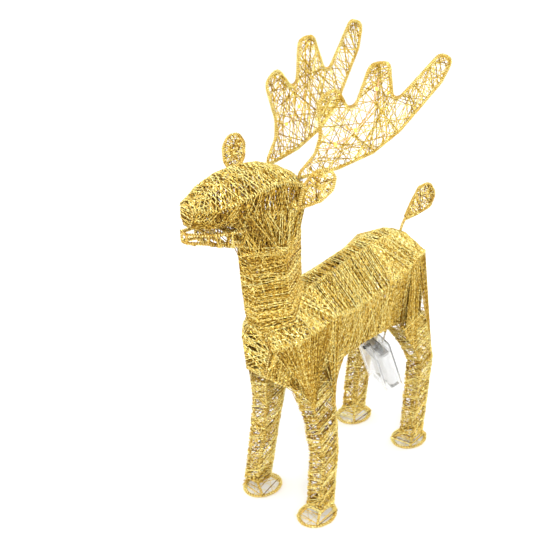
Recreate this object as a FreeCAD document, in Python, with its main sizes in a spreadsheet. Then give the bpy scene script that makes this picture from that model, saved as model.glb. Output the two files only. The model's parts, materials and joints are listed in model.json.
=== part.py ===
import FreeCAD, Part
import Sketcher
import math
import os

# Light up yard reindeer: welded wire frames wound with glitter cord, plug-in antlers, an LED string
# and a clear battery box that hangs below the belly.
# The deer looks along -Y, its left side is +X, and it stands on z = 0. All lengths are millimetres.

V = FreeCAD.Vector
doc = FreeCAD.newDocument("reindeer")

# ---------------------------------------------------------------- driving dimensions

DIMENSIONS = [
    ("wire_diameter", 3.0, "long wires of every frame"),
    ("hoop_diameter", 2.6, "cross hoops welded to the long wires"),
    ("wire_bend", 5.0, "smallest bend radius of a frame wire, to its middle"),
    ("skin_inset", 2.3, "from a long wire's middle to the inside of the cord winding"),
    ("skin_outset", 3.7, "from a long wire's middle to the outside of the cord winding"),
    ("panel_thickness", 1.2, "cord panel that fills an ear, an antler or the tail"),
    ("panel_gap", 0.4, "from a loop wire to the cord panel inside it"),
    ("foot_track", 46.0, "middle of the body to the middle of a foot"),
    ("foot_width", 42.0, "foot loop across, to the wire's middle"),
    ("foot_length", 54.0, "foot loop along the deer, to the wire's middle"),
    ("foot_weld", 1.1, "foot loop to the middle of a leg wire's end"),
    ("winding_foot", 14.0, "height at which the leg winding stops"),
    ("front_foot", -112.0, "place of the front foot loops along the deer"),
    ("hind_foot", 107.0, "place of the hind foot loops along the deer"),
    ("head_turn", -9.6, "the head is bent a little towards the deer's right, degrees"),
    ("head_pivot", -150.0, "place along the deer of the upright line that the head is turned about"),
    ("antler_x", 24.5, "antler post beside the middle of the head"),
    ("antler_y", -149.0, "antler post along the deer"),
    ("antler_z", 464.0, "height at which the post meets the crown"),
    ("antler_swing_left", -2.0, "hand bend of the left antler in its own plane, degrees"),
    ("antler_swing_right", 2.5, "hand bend of the right antler in its own plane, degrees"),
    ("post_diameter", 5.0, "plug-in post of an antler"),
    ("post_clearance", 0.05, "radial clearance between the post and its socket"),
    ("post_length", 30.0, "post inside the socket"),
    ("socket_diameter", 7.6, "outside of the socket tube"),
    ("socket_above", 4.0, "socket rim above the antler's base point"),
    ("collar_diameter", 8.0, "collar of the post that rests on the socket rim"),
    ("collar_height", 2.0, "height of the collar"),
    ("socket_floor", 2.0, "closed lower end of the socket tube"),
    ("post_end_gap", 0.25, "from the post's end to the socket's floor"),
    ("box_length", 74.0, "battery box along the cells"),
    ("box_width", 50.0, "battery box across the three cells"),
    ("box_depth", 25.0, "battery box through"),
    ("box_wall", 1.6, "walls of the battery box"),
    ("box_corner", 3.0, "rounded upright edges of the battery box"),
    ("bay_length", 13.0, "switch bay at the hanging end of the box"),
    ("cover_thickness", 1.9, "sliding cover"),
    ("cover_lip", 0.6, "cover edge held by the lip of the box on each side"),
    ("lip_thickness", 1.2, "lip of the box over the cover's edge"),
    ("rib_width", 16.0, "thumb rib of the cover, across the cover"),
    ("rib_length", 1.2, "thumb rib along the cover"),
    ("rib_height", 0.7, "thumb rib above the cover"),
    ("rib_start", 5.0, "first thumb rib from the cover's free end"),
    ("rib_spread", 10.0, "from the first thumb rib to the last"),
    ("lid_gap", 0.1, "gap round the lid of the switch bay and behind the cover"),
    ("slide_gap", 0.15, "gap around a sliding plastic piece"),
    ("cell_diameter", 14.2, "AA cell"),
    ("cell_length", 50.0, "AA cell with its button"),
    ("cell_pitch", 15.2, "between the middles of two cells"),
    ("lug_reach", 7.0, "hanger wire to the back wall of the box"),
    ("lug_drop", 3.0, "hanger wire to the top wall of the box"),
    ("lug_width", 4.0, "lug along the hanger wire"),
    ("lug_radius", 3.2, "round end of the lug"),
    ("lug_length", 14.0, "lug down the back wall of the box"),
    ("hanger_x", 28.0, "middle of the hanger wire across the deer"),
    ("hanger_y", 38.0, "middle of the hanger wire along the deer"),
    ("hanger_z", 203.0, "height of the hanger wire"),
    ("hanger_half", 5.0, "from the middle of the hanger wire to its bend"),
    ("hanger_reach", 15.0, "from the hanger wire up to the belly wires it is welded to"),
    ("box_lean", 21.6, "lean of the hanging box from upright, degrees"),
    ("box_heading", -25.5, "turn of the hanging box about the upright, degrees"),
    ("pin_diameter", 2.6, "hanger wire that the box swings on"),
    ("pin_clearance", 0.08, "radial clearance of the hanger wire in the lug"),
    ("knob_width", 4.0, "switch knob along its travel"),
    ("knob_breadth", 3.0, "switch knob across its travel"),
    ("knob_travel", 4.0, "travel of the switch knob"),
    ("knob_proud", 1.6, "switch knob above the box"),
    ("knob_offset", 0.8, "switch knob from the middle of its bay"),
    ("knob_play", 0.3, "gap at each end of the knob's slot, and below the knob"),
    ("slot_breadth", 3.4, "knob's slot across the travel"),
    ("board_width", 38.0, "circuit board across the box"),
    ("board_gap", 0.6, "circuit board to the walls of its bay"),
    ("board_height", 9.0, "underside of the circuit board above the back of the box"),
    ("board_thickness", 1.2, "circuit board"),
    ("chip_width", 5.0, "timer chip across the box"),
    ("chip_length", 4.0, "timer chip along the box"),
    ("chip_height", 2.5, "timer chip below the board"),
    ("chip_start", 2.0, "timer chip from the start of the bay"),
    ("housing_length", 13.0, "switch housing along the knob's travel"),
    ("housing_breadth", 5.6, "switch housing across the travel"),
    ("housing_height", 6.0, "switch housing above the board"),
    ("housing_floor", 1.5, "floor of the switch housing"),
    ("lead_diameter", 1.4, "twin lead between the box and the LED string"),
    ("lead_drop", 9.5, "lead's hole in the back wall below the hanger wire"),
    ("gland_diameter", 4.8, "collar around the lead's hole"),
    ("gland_length", 1.6, "collar along the lead"),
    ("string_diameter", 1.2, "copper wire of the LED string"),
    ("bead_diameter", 4.2, "resin drop over an LED"),
    ("string_lift", 2.9, "LED string beside the middle plane of an antler"),
    ("origin_x", -2.89, "moves the bounding box's middle to x = 0"),
    ("origin_y", 54.8, "moves the bounding box's middle to y = 0"),
]

sheet = doc.addObject("Spreadsheet::Sheet", "dimensions")
for row, (alias, value, meaning) in enumerate(DIMENSIONS, start=1):
    sheet.set("A%d" % row, alias)
    sheet.set("B%d" % row, str(value))
    sheet.set("C%d" % row, meaning)
    sheet.setAlias("B%d" % row, alias)
doc.recompute()


def dim(alias):
    """The value of one driving dimension."""
    return float(sheet.get(alias))


def mirrored(point):
    """The same point on the deer's other side."""
    return V(-point.x, point.y, point.z)


def on_side(sign, left):
    """A vector given for the deer's left side, on the side of the sign."""
    x, y, z = left
    return V(sign * x, y, z)


# ---------------------------------------------------------------- placements

deer = FreeCAD.Placement(V(dim("origin_x"), dim("origin_y"), 0), FreeCAD.Rotation())
head_pivot = V(0, dim("head_pivot"), 0)
head_in_deer = FreeCAD.Placement(V(), FreeCAD.Rotation(V(0, 0, 1), dim("head_turn")), head_pivot)
head = deer.multiply(head_in_deer)
parts = []


def add_part(label, shape, placement):
    """One sub-part whose shape is made here from the sheet's sizes."""
    feature = doc.addObject("Part::Feature", label)
    feature.Label = label
    feature.Shape = shape
    feature.Placement = placement.multiply(shape.Placement)
    parts.append(feature)
    return feature


# ---------------------------------------------------------------- wires

SMALLEST_TANGENT = 1.5      # shortest straight length that a bend may take from a run
RUN_SHARE = 0.45            # largest share of a run that one bend may take
VOLUME_ALLOWANCE = 0.01     # a cord's volume against its section x its length


def bent_path(points, bend, closed=False):
    """Straight runs joined by tangent arcs, one arc at each inner point."""
    count = len(points)
    corners = range(count) if closed else range(1, count - 1)
    arcs = {}
    for i in corners:
        before = points[i - 1] - points[i]
        after = points[(i + 1) % count] - points[i]
        shorter = min(before.Length, after.Length)
        turn = math.pi - before.getAngle(after)
        tangent = min(max(bend * math.tan(turn / 2), SMALLEST_TANGENT), RUN_SHARE * shorter)
        radius = tangent / math.tan(turn / 2)
        start = points[i] + before.normalize() * tangent
        end = points[i] + after.normalize() * tangent
        inwards = (start + end) * 0.5 - points[i]
        centre_distance = math.hypot(tangent, radius)
        middle = points[i] + inwards.normalize() * (centre_distance - radius)
        arcs[i] = (start, middle, end)
    edges = []
    for i in range(count if closed else count - 1):
        following = (i + 1) % count
        run_start = arcs[i][2] if i in arcs else points[i]
        run_end = arcs[following][0] if following in arcs else points[following]
        edges.append(Part.LineSegment(run_start, run_end).toShape())
        if following in arcs:
            edges.append(Part.Arc(*arcs[following]).toShape())
    return Part.Wire(edges)


def tube(points, diameter, bend, closed=False):
    """A round wire along straight runs and tangent arcs."""
    path = bent_path(points, bend, closed)
    first = path.Edges[0]
    start = first.valueAt(first.FirstParameter)
    along = first.tangentAt(first.FirstParameter)
    section = Part.Wire(Part.makeCircle(diameter / 2, start, along))
    return path.makePipeShell([section], True, False)


def cord(label, points, diameter, bend):
    """A flexible wire made whole, with its length, its bends and its volume against section x length."""
    path = bent_path(points, bend)
    made = tube(points, diameter, bend)
    radii = [round(edge.Curve.Radius, 1) for edge in path.Edges if edge.Curve.TypeId == "Part::GeomCircle"]
    share = made.Volume / (math.pi * diameter ** 2 / 4 * path.Length)
    print("%s: %.1f mm long, bends %s, volume share %.4f" % (label, path.Length, radii, share))
    if abs(share - 1) > VOLUME_ALLOWANCE:
        raise RuntimeError("%s is not one even tube" % label)
    return made


def welded(shapes):
    """One solid from wires that cross or meet."""
    joined = shapes[0].fuse(shapes[1:])
    return joined.removeSplitter()


def largest(shape):
    """The biggest solid of a shape, without the slivers that a cut can leave past a weld."""
    return max(shape.Solids, key=lambda solid: solid.Volume)


# ---------------------------------------------------------------- wound columns

def grown(polygon, distance):
    """A flat convex polygon with every side moved outwards by the distance."""
    count = len(polygon)
    normal = (polygon[1] - polygon[0]).cross(polygon[2] - polygon[1])
    result = []
    for i in range(count):
        before = (polygon[i] - polygon[i - 1]).cross(normal).normalize()
        after = (polygon[(i + 1) % count] - polygon[i]).cross(normal).normalize()
        bisector = (before + after).normalize()
        result.append(polygon[i] + bisector * (distance / bisector.dot(after)))
    return result


def loft(polygons):
    """A solid through flat polygons with the same number of corners."""
    wires = [Part.makePolygon(polygon + [polygon[0]]) for polygon in polygons]
    return Part.makeLoft(wires, True, True)


def middle_of(polygon):
    total = V()
    for point in polygon:
        total += point
    return total * (1 / len(polygon))


def stretched(polygons, extra):
    """The polygons with the first and last one moved outwards along the column."""
    first_step = (middle_of(polygons[0]) - middle_of(polygons[1])).normalize() * extra
    last_step = (middle_of(polygons[-1]) - middle_of(polygons[-2])).normalize() * extra
    first = [point + first_step for point in polygons[0]]
    last = [point + last_step for point in polygons[-1]]
    return [first] + polygons[1:-1] + [last]


class Column:
    """Long wires through the corners of a row of flat polygons, hoops, and the cord wound on them.

    The first polygons of a leg may be bare, where its wires go on past the winding to the foot loop,
    and the last ones may be wound only, where the winding goes on over the trunk's own wires.
    """

    def __init__(self, polygons, hoops, end_caps=False, bare=0, wound_only=0):
        self.polygons = polygons
        self.wired = polygons[:len(polygons) - wound_only]
        self.hoops = hoops
        polygons = polygons[bare:]
        inset = dim("skin_inset")
        outset = dim("skin_outset")
        outer_ends = outset if end_caps else 0
        inner_ends = inset if end_caps else outset
        self.outer = loft([grown(p, outset) for p in stretched(polygons, outer_ends)])
        self.inner = loft([grown(p, inset) for p in stretched(polygons, inner_ends)])

    def wires(self):
        """The long wires and the hoops, each on its own."""
        wires = []
        for corner in range(len(self.wired[0])):
            line = [polygon[corner] for polygon in self.wired]
            wires.append(tube(line, dim("wire_diameter"), dim("wire_bend")))
        for index in self.hoops:
            wires.append(tube(self.wired[index], dim("hoop_diameter"), dim("wire_bend"), closed=True))
        return wires

    def frame(self):
        return welded(self.wires())

    def skin(self):
        return self.outer.cut(self.inner)


def section(y, *half):
    """A left-right symmetric polygon across the deer: half lists its (x, z) corners from the top down."""
    left = [V(x, y, z) for x, z in half]
    right = [V(-x, y, z) for x, z in reversed(half)]
    return left + right


# ---------------------------------------------------------------- the four-legged body

torso = Column([
    section(-187, (8, 292), (20, 268), (13, 232)),
    section(-165, (8, 303), (37, 272), (24, 213)),
    section(-140, (9, 309), (45, 280), (30, 207)),
    section(-105, (9, 312), (47, 287), (34, 209)),
    section(-65, (9, 316), (48, 283), (38, 217)),
    section(-20, (9, 322), (47, 284), (38, 219)),
    section(38, (9, 326), (47, 289), (38, 216)),
    section(75, (9, 323), (46, 303), (40, 209)),
    section(100, (9, 314), (39, 300), (42, 205)),
    section(116, (9, 298), (27, 288), (30, 212)),
], hoops=range(10), end_caps=True)


def neck_section(front, back, half_width):
    """A six-cornered section from its front and back (y, z) points."""
    front_y, front_z = front
    back_y, back_z = back
    edge = 8
    side_share = 0.42
    side_y = front_y + (back_y - front_y) * side_share
    side_z = front_z + (back_z - front_z) * side_share
    left = [V(edge, front_y, front_z), V(half_width, side_y, side_z), V(edge, back_y, back_z)]
    return left + [mirrored(point) for point in reversed(left)]


neck = Column([
    neck_section((-212, 402), (-130, 398), 27),
    neck_section((-208, 375), (-128, 376), 25),
    neck_section((-202, 342), (-126, 350), 25.5),
    neck_section((-196, 312), (-123, 328), 27.5),
    neck_section((-187, 285), (-116, 309), 30),
], hoops=range(4))


def leg_section(middle, z, half_x, half_y):
    x, y = middle
    return [
        V(x + half_x, y - half_y, z),
        V(x + half_x, y + half_y, z),
        V(x - half_x, y + half_y, z),
        V(x - half_x, y - half_y, z),
    ]


wire_radius = dim("wire_diameter") / 2
ankle = dim("winding_foot")
foot_x = dim("foot_track")
front_y = dim("front_foot")
hind_y = dim("hind_foot")


def foot_section(middle):
    """Where the four wires of a leg stand on its foot loop."""
    diagonal = math.sqrt(0.5)
    height = dim("wire_diameter") + dim("foot_weld")
    return leg_section(middle, height, dim("foot_width") / 2 * diagonal, dim("foot_length") / 2 * diagonal)


def front_leg(foot, ankle_middle, knee_middle):
    return Column([
        foot_section(foot),
        leg_section(ankle_middle, ankle, 9, 12),
        leg_section(knee_middle, 100, 9.5, 13),
        leg_section((foot_x - 5, front_y + 1), 148, 9.5, 16.5),
        leg_section((foot_x - 10, front_y - 5), 180, 11, 20),
        leg_section((foot_x - 15, front_y - 5.5), 203, 13.2, 26),
        leg_section((foot_x - 20, front_y + 3), 232, 15, 39),
    ], hoops=[2, 3, 4, 5], bare=1, wound_only=1)


def hind_leg(foot, ankle_middle, knee_middle):
    return Column([
        foot_section(foot),
        leg_section(ankle_middle, ankle, 9, 11),
        leg_section(knee_middle, 95, 9.5, 11.5),
        leg_section((foot_x - 1, hind_y + 2), 138, 9.5, 13),
        leg_section((foot_x - 4, hind_y - 11), 168, 10.5, 17),
        leg_section((foot_x - 8.5, hind_y - 28), 199, 13, 23.5),
        leg_section((foot_x - 11, hind_y - 39), 224, 15, 27),
    ], hoops=[2, 3, 4, 5], bare=1, wound_only=1)


def other_side(column):
    """The same leg on the deer's right."""
    polygons = [[mirrored(point) for point in reversed(polygon)] for polygon in column.polygons]
    return Column(polygons, column.hoops, bare=1, wound_only=1)


# The feet are bent by hand, so each one stands a little differently.
feet = {
    "front_left": (foot_x, front_y),
    "front_right": (foot_x - 1, front_y),
    "hind_left": (foot_x - 6, hind_y + 4),
    "hind_right": (foot_x + 8, hind_y),
}
legs = {
    "front_left": front_leg(feet["front_left"], (foot_x, front_y + 6), (foot_x, front_y + 6)),
    "front_right": other_side(
        front_leg(feet["front_right"], (foot_x + 6, front_y - 2), (foot_x + 1, front_y + 3))
    ),
    "hind_left": hind_leg(feet["hind_left"], (foot_x - 1, hind_y), (foot_x, hind_y)),
    "hind_right": other_side(
        hind_leg(feet["hind_right"], (foot_x + 6, hind_y - 5), (foot_x + 4, hind_y - 4))
    ),
}

# ---------------------------------------------------------------- head and jaw, in the head's axes

skull = Column([
    section(-281, (4, 463), (9, 459), (9, 449), (5, 441)),
    section(-262, (9, 473), (21, 458), (18, 445), (12, 438)),
    section(-238, (10, 481), (29, 464), (26, 449), (17, 437)),
    section(-212, (11, 484), (31, 471), (29, 446), (21, 424)),
    section(-180, (11, 481), (31, 473), (31, 443), (25, 404)),
    section(-150, (11, 470), (29, 463), (28, 438), (22, 402)),
    section(-132, (8, 455), (14, 448), (14, 430), (10, 405)),
], hoops=range(7), end_caps=True)

jaw = Column([
    section(-285, (5, 432), (4, 422)),
    section(-262, (13, 428), (10, 417)),
    section(-240, (19, 427), (14, 411)),
    section(-219, (22, 426), (17, 407)),
], hoops=range(4), end_caps=True)

# ---------------------------------------------------------------- flat wire loops


def loop_points(outline):
    """A flat outline of (across, along) pairs in the local XZ plane."""
    return [V(across, 0, along) for across, along in outline]


def panel(outline, bend):
    """The cord panel inside a loop of wire."""
    path = bent_path(loop_points(outline), bend, closed=True)
    clear = wire_radius + dim("panel_gap")
    inside = path.makeOffset2D(-clear)
    if Part.Face(inside).Area > Part.Face(path).Area:
        inside = path.makeOffset2D(clear)
    thickness = dim("panel_thickness")
    plate = Part.Face(inside).extrude(V(0, thickness, 0))
    plate.translate(V(0, -thickness / 2, 0))
    return plate


def local_frame(base, across, along):
    """A placement with local X across and local Z along."""
    return FreeCAD.Placement(base, FreeCAD.Rotation(across, V(), along, "ZXY"))


STEM = 1.6                  # half the distance between the two ends of a loop wire at its stem

ANTLER_OUTLINE = [
    (-STEM, 6), (-STEM, 12), (15, 32), (18, 52), (7, 95), (28, 107), (56, 70),
    (68, 129), (93, 129), (110, 77), (163, 132), (184, 124), (174, 98),
    (128, 45), (96, 23), (50, 10), (STEM, 6),
]
ANTLER_BEND = 11.0
ANTLER_STRING = [(4, 16), (24, 36), (52, 46), (72, 64), (80, 90), (81, 112)]
ANTLER_BEADS = [1, 2, 4]
ANTLER_ACROSS = (0.143, 0.990, 0)
ANTLER_ALONG = (0.129, -0.019, 0.991)

EAR_OUTLINE = [(-STEM, 0), (-12, 20), (-13, 38), (-6, 51), (6, 51), (13, 38), (12, 20), (STEM, 0)]
EAR_BEND = 9.0
EAR_STEM = [(29, -160, 449), (38, -168, 447), (50, -174, 449), (55, -174, 453)]
EAR_ALONG = {"left": (24, 22, 44), "right": (-30, 21, 35)}
EAR_ACROSS = {"left": (-0.72, -0.37, 0.58), "right": (0.85, 0.5, 0.3)}

TAIL_STEM = [(0, 101, 314), (0, 105, 324), (0, 112, 332)]
TAIL_OUTLINE = [(-STEM, 0), (-9, 20), (-16, 46), (-9, 66), (8, 66), (15, 46), (8, 20), (STEM, 0)]
TAIL_ALONG = (0, 62, 26)
TAIL_ACROSS = (-30, -20, 60)
TAIL_BEND = 12.0

# ---------------------------------------------------------------- battery box as PartDesign bodies
# The box's own axes: X across the cells, Y along them towards the hanging end, Z from its back wall
# to its cover.

pivot = V(dim("hanger_x"), dim("hanger_y"), dim("hanger_z"))
heading = FreeCAD.Rotation(V(0, 0, 1), dim("box_heading"))
lean = FreeCAD.Rotation(V(1, 0, 0), dim("box_lean"))
hanger = deer.multiply(FreeCAD.Placement(pivot, heading))
hanging = hanger.multiply(FreeCAD.Placement(V(), lean))
upright = FreeCAD.Rotation(V(1, 0, 0), 90)
box_corner = V(0, -dim("lug_reach"), -dim("lug_drop") - dim("box_length"))
box = hanging.multiply(FreeCAD.Placement(box_corner, upright))


def plane(body, role):
    for feature in body.Origin.OriginFeatures:
        if feature.Role == role:
            return feature


def new_body(label, placement):
    body = doc.addObject("PartDesign::Body", label)
    body.Label = label
    body.Placement = placement
    parts.append(body)
    return body


def rectangle(body, name, width, low, length, height):
    """A rectangle symmetric about the body's Y axis, from y = low, drawn at a height above its XY plane."""
    sketch = body.newObject("Sketcher::SketchObject", name)
    sketch.AttachmentSupport = [(plane(body, "XY_Plane"), "")]
    sketch.MapMode = "FlatFace"
    sketch.setExpression("AttachmentOffset.Base.z", height)
    corners = [V(-5, 5, 0), V(5, 5, 0), V(5, 15, 0), V(-5, 15, 0)]
    for i in range(4):
        sketch.addGeometry(Part.LineSegment(corners[i], corners[(i + 1) % 4]))
    for i in range(4):
        sketch.addConstraint(Sketcher.Constraint("Coincident", i, 2, (i + 1) % 4, 1))
    sketch.addConstraint(Sketcher.Constraint("Horizontal", 2))
    sketch.addConstraint(Sketcher.Constraint("Vertical", 1))
    sketch.addConstraint(Sketcher.Constraint("Vertical", 3))
    sketch.addConstraint(Sketcher.Constraint("Symmetric", 0, 1, 0, 2, -2))
    across = sketch.addConstraint(Sketcher.Constraint("DistanceX", 0, 1, 0, 2, 10))
    along = sketch.addConstraint(Sketcher.Constraint("DistanceY", 1, 1, 1, 2, 10))
    sketch.setExpression("Constraints[%d]" % across, width)
    sketch.setExpression("Constraints[%d]" % along, length)
    if low == "0":
        sketch.addConstraint(Sketcher.Constraint("PointOnObject", 0, 1, -1))
    else:
        start = sketch.addConstraint(Sketcher.Constraint("DistanceY", -1, 1, 0, 1, 5))
        sketch.setExpression("Constraints[%d]" % start, low)
    return sketch


def pad(body, name, sketch, length):
    feature = body.newObject("PartDesign::Pad", name)
    feature.Profile = sketch
    feature.setExpression("Length", length)
    return feature


def pocket(body, name, sketch, length):
    """A pocket that goes down from its sketch."""
    feature = body.newObject("PartDesign::Pocket", name)
    feature.Profile = sketch
    feature.setExpression("Length", length)
    return feature


def upright_edges(shape, radius_room):
    """Names of the four outer corner edges that run along Z."""
    names = []
    for number, edge in enumerate(shape.Edges, start=1):
        start, end = edge.Vertexes[0].Point, edge.Vertexes[-1].Point
        if abs(abs(start.z - end.z) - edge.Length) < 1e-6 and edge.Length > radius_room:
            names.append("Edge%d" % number)
    return names


SHEET = "dimensions."
WALL = SHEET + "box_wall"
INNER_WIDTH = "dimensions.box_width - 2 * dimensions.box_wall"
CELL_ROOM = "dimensions.box_length - dimensions.bay_length - 2 * dimensions.box_wall"
BAY_START = "dimensions.box_length - dimensions.bay_length"
BAY_ROOM = "dimensions.bay_length - dimensions.box_wall"
GROOVE_DEPTH = "dimensions.cover_thickness + 2 * dimensions.slide_gap"
LIP_FLOOR = "dimensions.box_depth - dimensions.lip_thickness"
COVER_LENGTH = CELL_ROOM + " + dimensions.box_wall - 2 * dimensions.lid_gap"
KNOB_LINE = "dimensions.box_length - dimensions.bay_length / 2 - dimensions.knob_offset"
SLOT_LENGTH = "dimensions.knob_width + dimensions.knob_travel + 2 * dimensions.knob_play"
SLOT_START = KNOB_LINE + " - dimensions.slot_breadth / 2"
BOARD_TOP = "dimensions.board_height + dimensions.board_thickness"
KNOB_FOOT = BOARD_TOP + " + dimensions.housing_floor + dimensions.knob_play"
THUMB_RIBS = 5


def battery_case():
    body = new_body("battery_case", box)
    block = rectangle(body, "case_outline", SHEET + "box_width", "0", SHEET + "box_length", "0")
    block = pad(body, "case_block", block, SHEET + "box_depth")
    doc.recompute()
    rounded = body.newObject("PartDesign::Fillet", "case_corners")
    rounded.Base = (block, upright_edges(block.Shape, dim("box_corner")))
    rounded.setExpression("Radius", SHEET + "box_corner")
    cells = rectangle(body, "cell_outline", INNER_WIDTH, WALL, CELL_ROOM, SHEET + "box_depth")
    pocket(body, "cell_room", cells, "dimensions.box_depth - dimensions.box_wall")
    bay = rectangle(body, "bay_outline", INNER_WIDTH, BAY_START, BAY_ROOM, SHEET + "box_depth")
    pocket(body, "switch_bay", bay, "dimensions.box_depth - dimensions.box_wall")
    groove_width = INNER_WIDTH + " + 2 * (dimensions.cover_lip + dimensions.slide_gap)"
    groove_length = CELL_ROOM + " + dimensions.box_wall"
    groove = rectangle(body, "groove_outline", groove_width, "0", groove_length, LIP_FLOOR)
    pocket(body, "cover_groove", groove, GROOVE_DEPTH)
    mouth = rectangle(body, "mouth_outline", INNER_WIDTH, "0", "2 * dimensions.box_wall", SHEET + "box_depth")
    pocket(body, "cover_mouth", mouth, "dimensions.lip_thickness + " + GROOVE_DEPTH)
    return body


def battery_cover():
    body = new_body("battery_cover", box)
    floor = LIP_FLOOR + " - dimensions.cover_thickness - dimensions.slide_gap"
    width = INNER_WIDTH + " + 2 * dimensions.cover_lip"
    outline = rectangle(body, "cover_outline", width, "0", COVER_LENGTH, floor)
    plate = pad(body, "cover_plate", outline, SHEET + "cover_thickness")
    doc.recompute()
    outer = [name for name in upright_edges(plate.Shape, dim("slide_gap"))
             if plate.Shape.getElement(name).CenterOfMass.y < dim("box_wall")]
    rounded = body.newObject("PartDesign::Fillet", "cover_corners")
    rounded.Base = (plate, outer)
    rounded.setExpression("Radius", SHEET + "box_corner")
    outline = rectangle(body, "rib_outline", SHEET + "rib_width", SHEET + "rib_start", SHEET + "rib_length",
                        floor + " + dimensions.cover_thickness")
    rib = pad(body, "rib", outline, SHEET + "rib_height")
    pattern = body.newObject("PartDesign::LinearPattern", "thumb_ribs")
    pattern.Originals = [rib]
    pattern.Direction = (plane(body, "Y_Axis"), [""])
    pattern.setExpression("Length", SHEET + "rib_spread")
    pattern.Occurrences = THUMB_RIBS
    body.Tip = pattern
    return body


def bay_lid():
    body = new_body("switch_bay_lid", box)
    outline = rectangle(body, "lid_outline", INNER_WIDTH + " - 2 * dimensions.lid_gap",
                        BAY_START + " + dimensions.lid_gap", BAY_ROOM + " - 2 * dimensions.lid_gap",
                        SHEET + "box_depth - dimensions.box_wall")
    pad(body, "lid_plate", outline, WALL)
    slot = rectangle(body, "slot_outline", SLOT_LENGTH, SLOT_START, SHEET + "slot_breadth",
                     SHEET + "box_depth")
    pocket(body, "knob_slot", slot, "2 * dimensions.box_wall")
    return body


def circuit_board():
    body = new_body("circuit_board", box)
    outline = rectangle(body, "board_outline", SHEET + "board_width", BAY_START + " + dimensions.board_gap",
                        BAY_ROOM + " - 2 * dimensions.board_gap", SHEET + "board_height")
    pad(body, "board", outline, SHEET + "board_thickness")
    chip = rectangle(body, "chip_outline", SHEET + "chip_width", BAY_START + " + dimensions.chip_start",
                     SHEET + "chip_length", "dimensions.board_height - dimensions.chip_height")
    pad(body, "chip", chip, SHEET + "chip_height")
    return body


def switch_housing():
    """The slide switch on the board; its metal cover leaves the knob's slot open."""
    body = new_body("switch_housing", box)
    outline = rectangle(body, "housing_outline", SHEET + "housing_length",
                        KNOB_LINE + " - dimensions.housing_breadth / 2", SHEET + "housing_breadth", BOARD_TOP)
    pad(body, "housing", outline, SHEET + "housing_height")
    room = rectangle(body, "room_outline", SLOT_LENGTH, SLOT_START, SHEET + "slot_breadth",
                     BOARD_TOP + " + dimensions.housing_height")
    pocket(body, "knob_room", room, "dimensions.housing_height - dimensions.housing_floor")
    return body


def switch_knob():
    """The knob at the start of its travel."""
    shift = FreeCAD.Placement(V(-dim("knob_travel") / 2, 0, 0), FreeCAD.Rotation())
    body = new_body("switch_knob", box.multiply(shift))
    outline = rectangle(body, "knob_outline", SHEET + "knob_width",
                        KNOB_LINE + " - dimensions.knob_breadth / 2", SHEET + "knob_breadth", KNOB_FOOT)
    pad(body, "knob", outline, "dimensions.box_depth + dimensions.knob_proud - (" + KNOB_FOOT + ")")
    return body


battery_case()
battery_cover()
bay_lid()
circuit_board()
switch_housing()
switch_knob()

CELL_COUNT = 3
CELL_MIDDLE = 9.0           # height of the cells' middles over the box's back wall
PLATE = 0.4                 # thickness of a contact plate
PLATE_SIDE = 12.0
DIMPLE_RADIUS = 2.2         # dimple of a plate that meets a cell's button
SPRING_ROOM = 5.6           # spring between a plate and a cell
SPRING_END = 0.6            # from the plate or the cell to the middle of the spring's wire
SPRING_PITCH = 1.7
SPRING_RADIUS = 3.2
SPRING_WIRE = 0.4           # radius of the spring's wire
BUTTON_LENGTH = 1.2
BUTTON_RADIUS = 2.75
room_start = dim("box_wall")
room_end = dim("box_length") - dim("bay_length") - dim("box_wall")
along = V(0, 1, 0)


def cell():
    """A cell along +Y from the flat end to its button."""
    can = Part.makeCylinder(dim("cell_diameter") / 2, dim("cell_length") - BUTTON_LENGTH, V(), along)
    button = Part.makeCylinder(BUTTON_RADIUS, dim("cell_length"), V(), along)
    return can.fuse(button).removeSplitter()


def spring(start, direction):
    """A contact spring from its plate towards a cell."""
    coil = Part.makeHelix(SPRING_PITCH, SPRING_ROOM - 2 * SPRING_END, SPRING_RADIUS)
    section_middle = coil.Edges[0].valueAt(coil.Edges[0].FirstParameter)
    wire = Part.Wire(Part.makeCircle(SPRING_WIRE, section_middle, V(0, 1, 0)))
    turns = Part.Wire(coil.Edges).makePipeShell([wire], True, True)
    turns.translate(V(0, 0, SPRING_END))
    stand = FreeCAD.Placement(start, FreeCAD.Rotation(V(0, 0, 1), direction))
    turns.Placement = stand.multiply(turns.Placement)
    return turns


def contact_plate(x, y):
    corner = V(x - PLATE_SIDE / 2, y, CELL_MIDDLE - PLATE_SIDE / 2)
    return Part.makeBox(PLATE_SIDE, PLATE, PLATE_SIDE, corner)


plates = []
springs = []
dimple = room_end - room_start - 2 * PLATE - SPRING_ROOM - dim("cell_length")
for number in range(CELL_COUNT):
    x = (number - (CELL_COUNT - 1) / 2) * dim("cell_pitch")
    low_plate = contact_plate(x, room_start)
    high_plate = contact_plate(x, room_end - PLATE)
    if number % 2 == 1:
        bump = Part.makeCylinder(DIMPLE_RADIUS, dimple, V(x, room_start + PLATE, CELL_MIDDLE), along)
        low_plate = low_plate.fuse(bump)
        springs.append(spring(V(x, room_end - PLATE, CELL_MIDDLE), -along))
        flat_end = room_end - PLATE - SPRING_ROOM
        turn = FreeCAD.Rotation(V(0, 0, 1), 180)
    else:
        bump = Part.makeCylinder(DIMPLE_RADIUS, dimple, V(x, room_end - PLATE, CELL_MIDDLE), -along)
        high_plate = high_plate.fuse(bump)
        springs.append(spring(V(x, room_start + PLATE, CELL_MIDDLE), along))
        flat_end = room_start + PLATE + SPRING_ROOM
        turn = FreeCAD.Rotation()
    plates += [low_plate, high_plate]
    add_part("battery_cell_%d" % (number + 1), cell(),
             box.multiply(FreeCAD.Placement(V(x, flat_end, CELL_MIDDLE), turn)))
add_part("contact_plates", Part.makeCompound(plates), box)
add_part("contact_springs", Part.makeCompound(springs), box)


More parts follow.
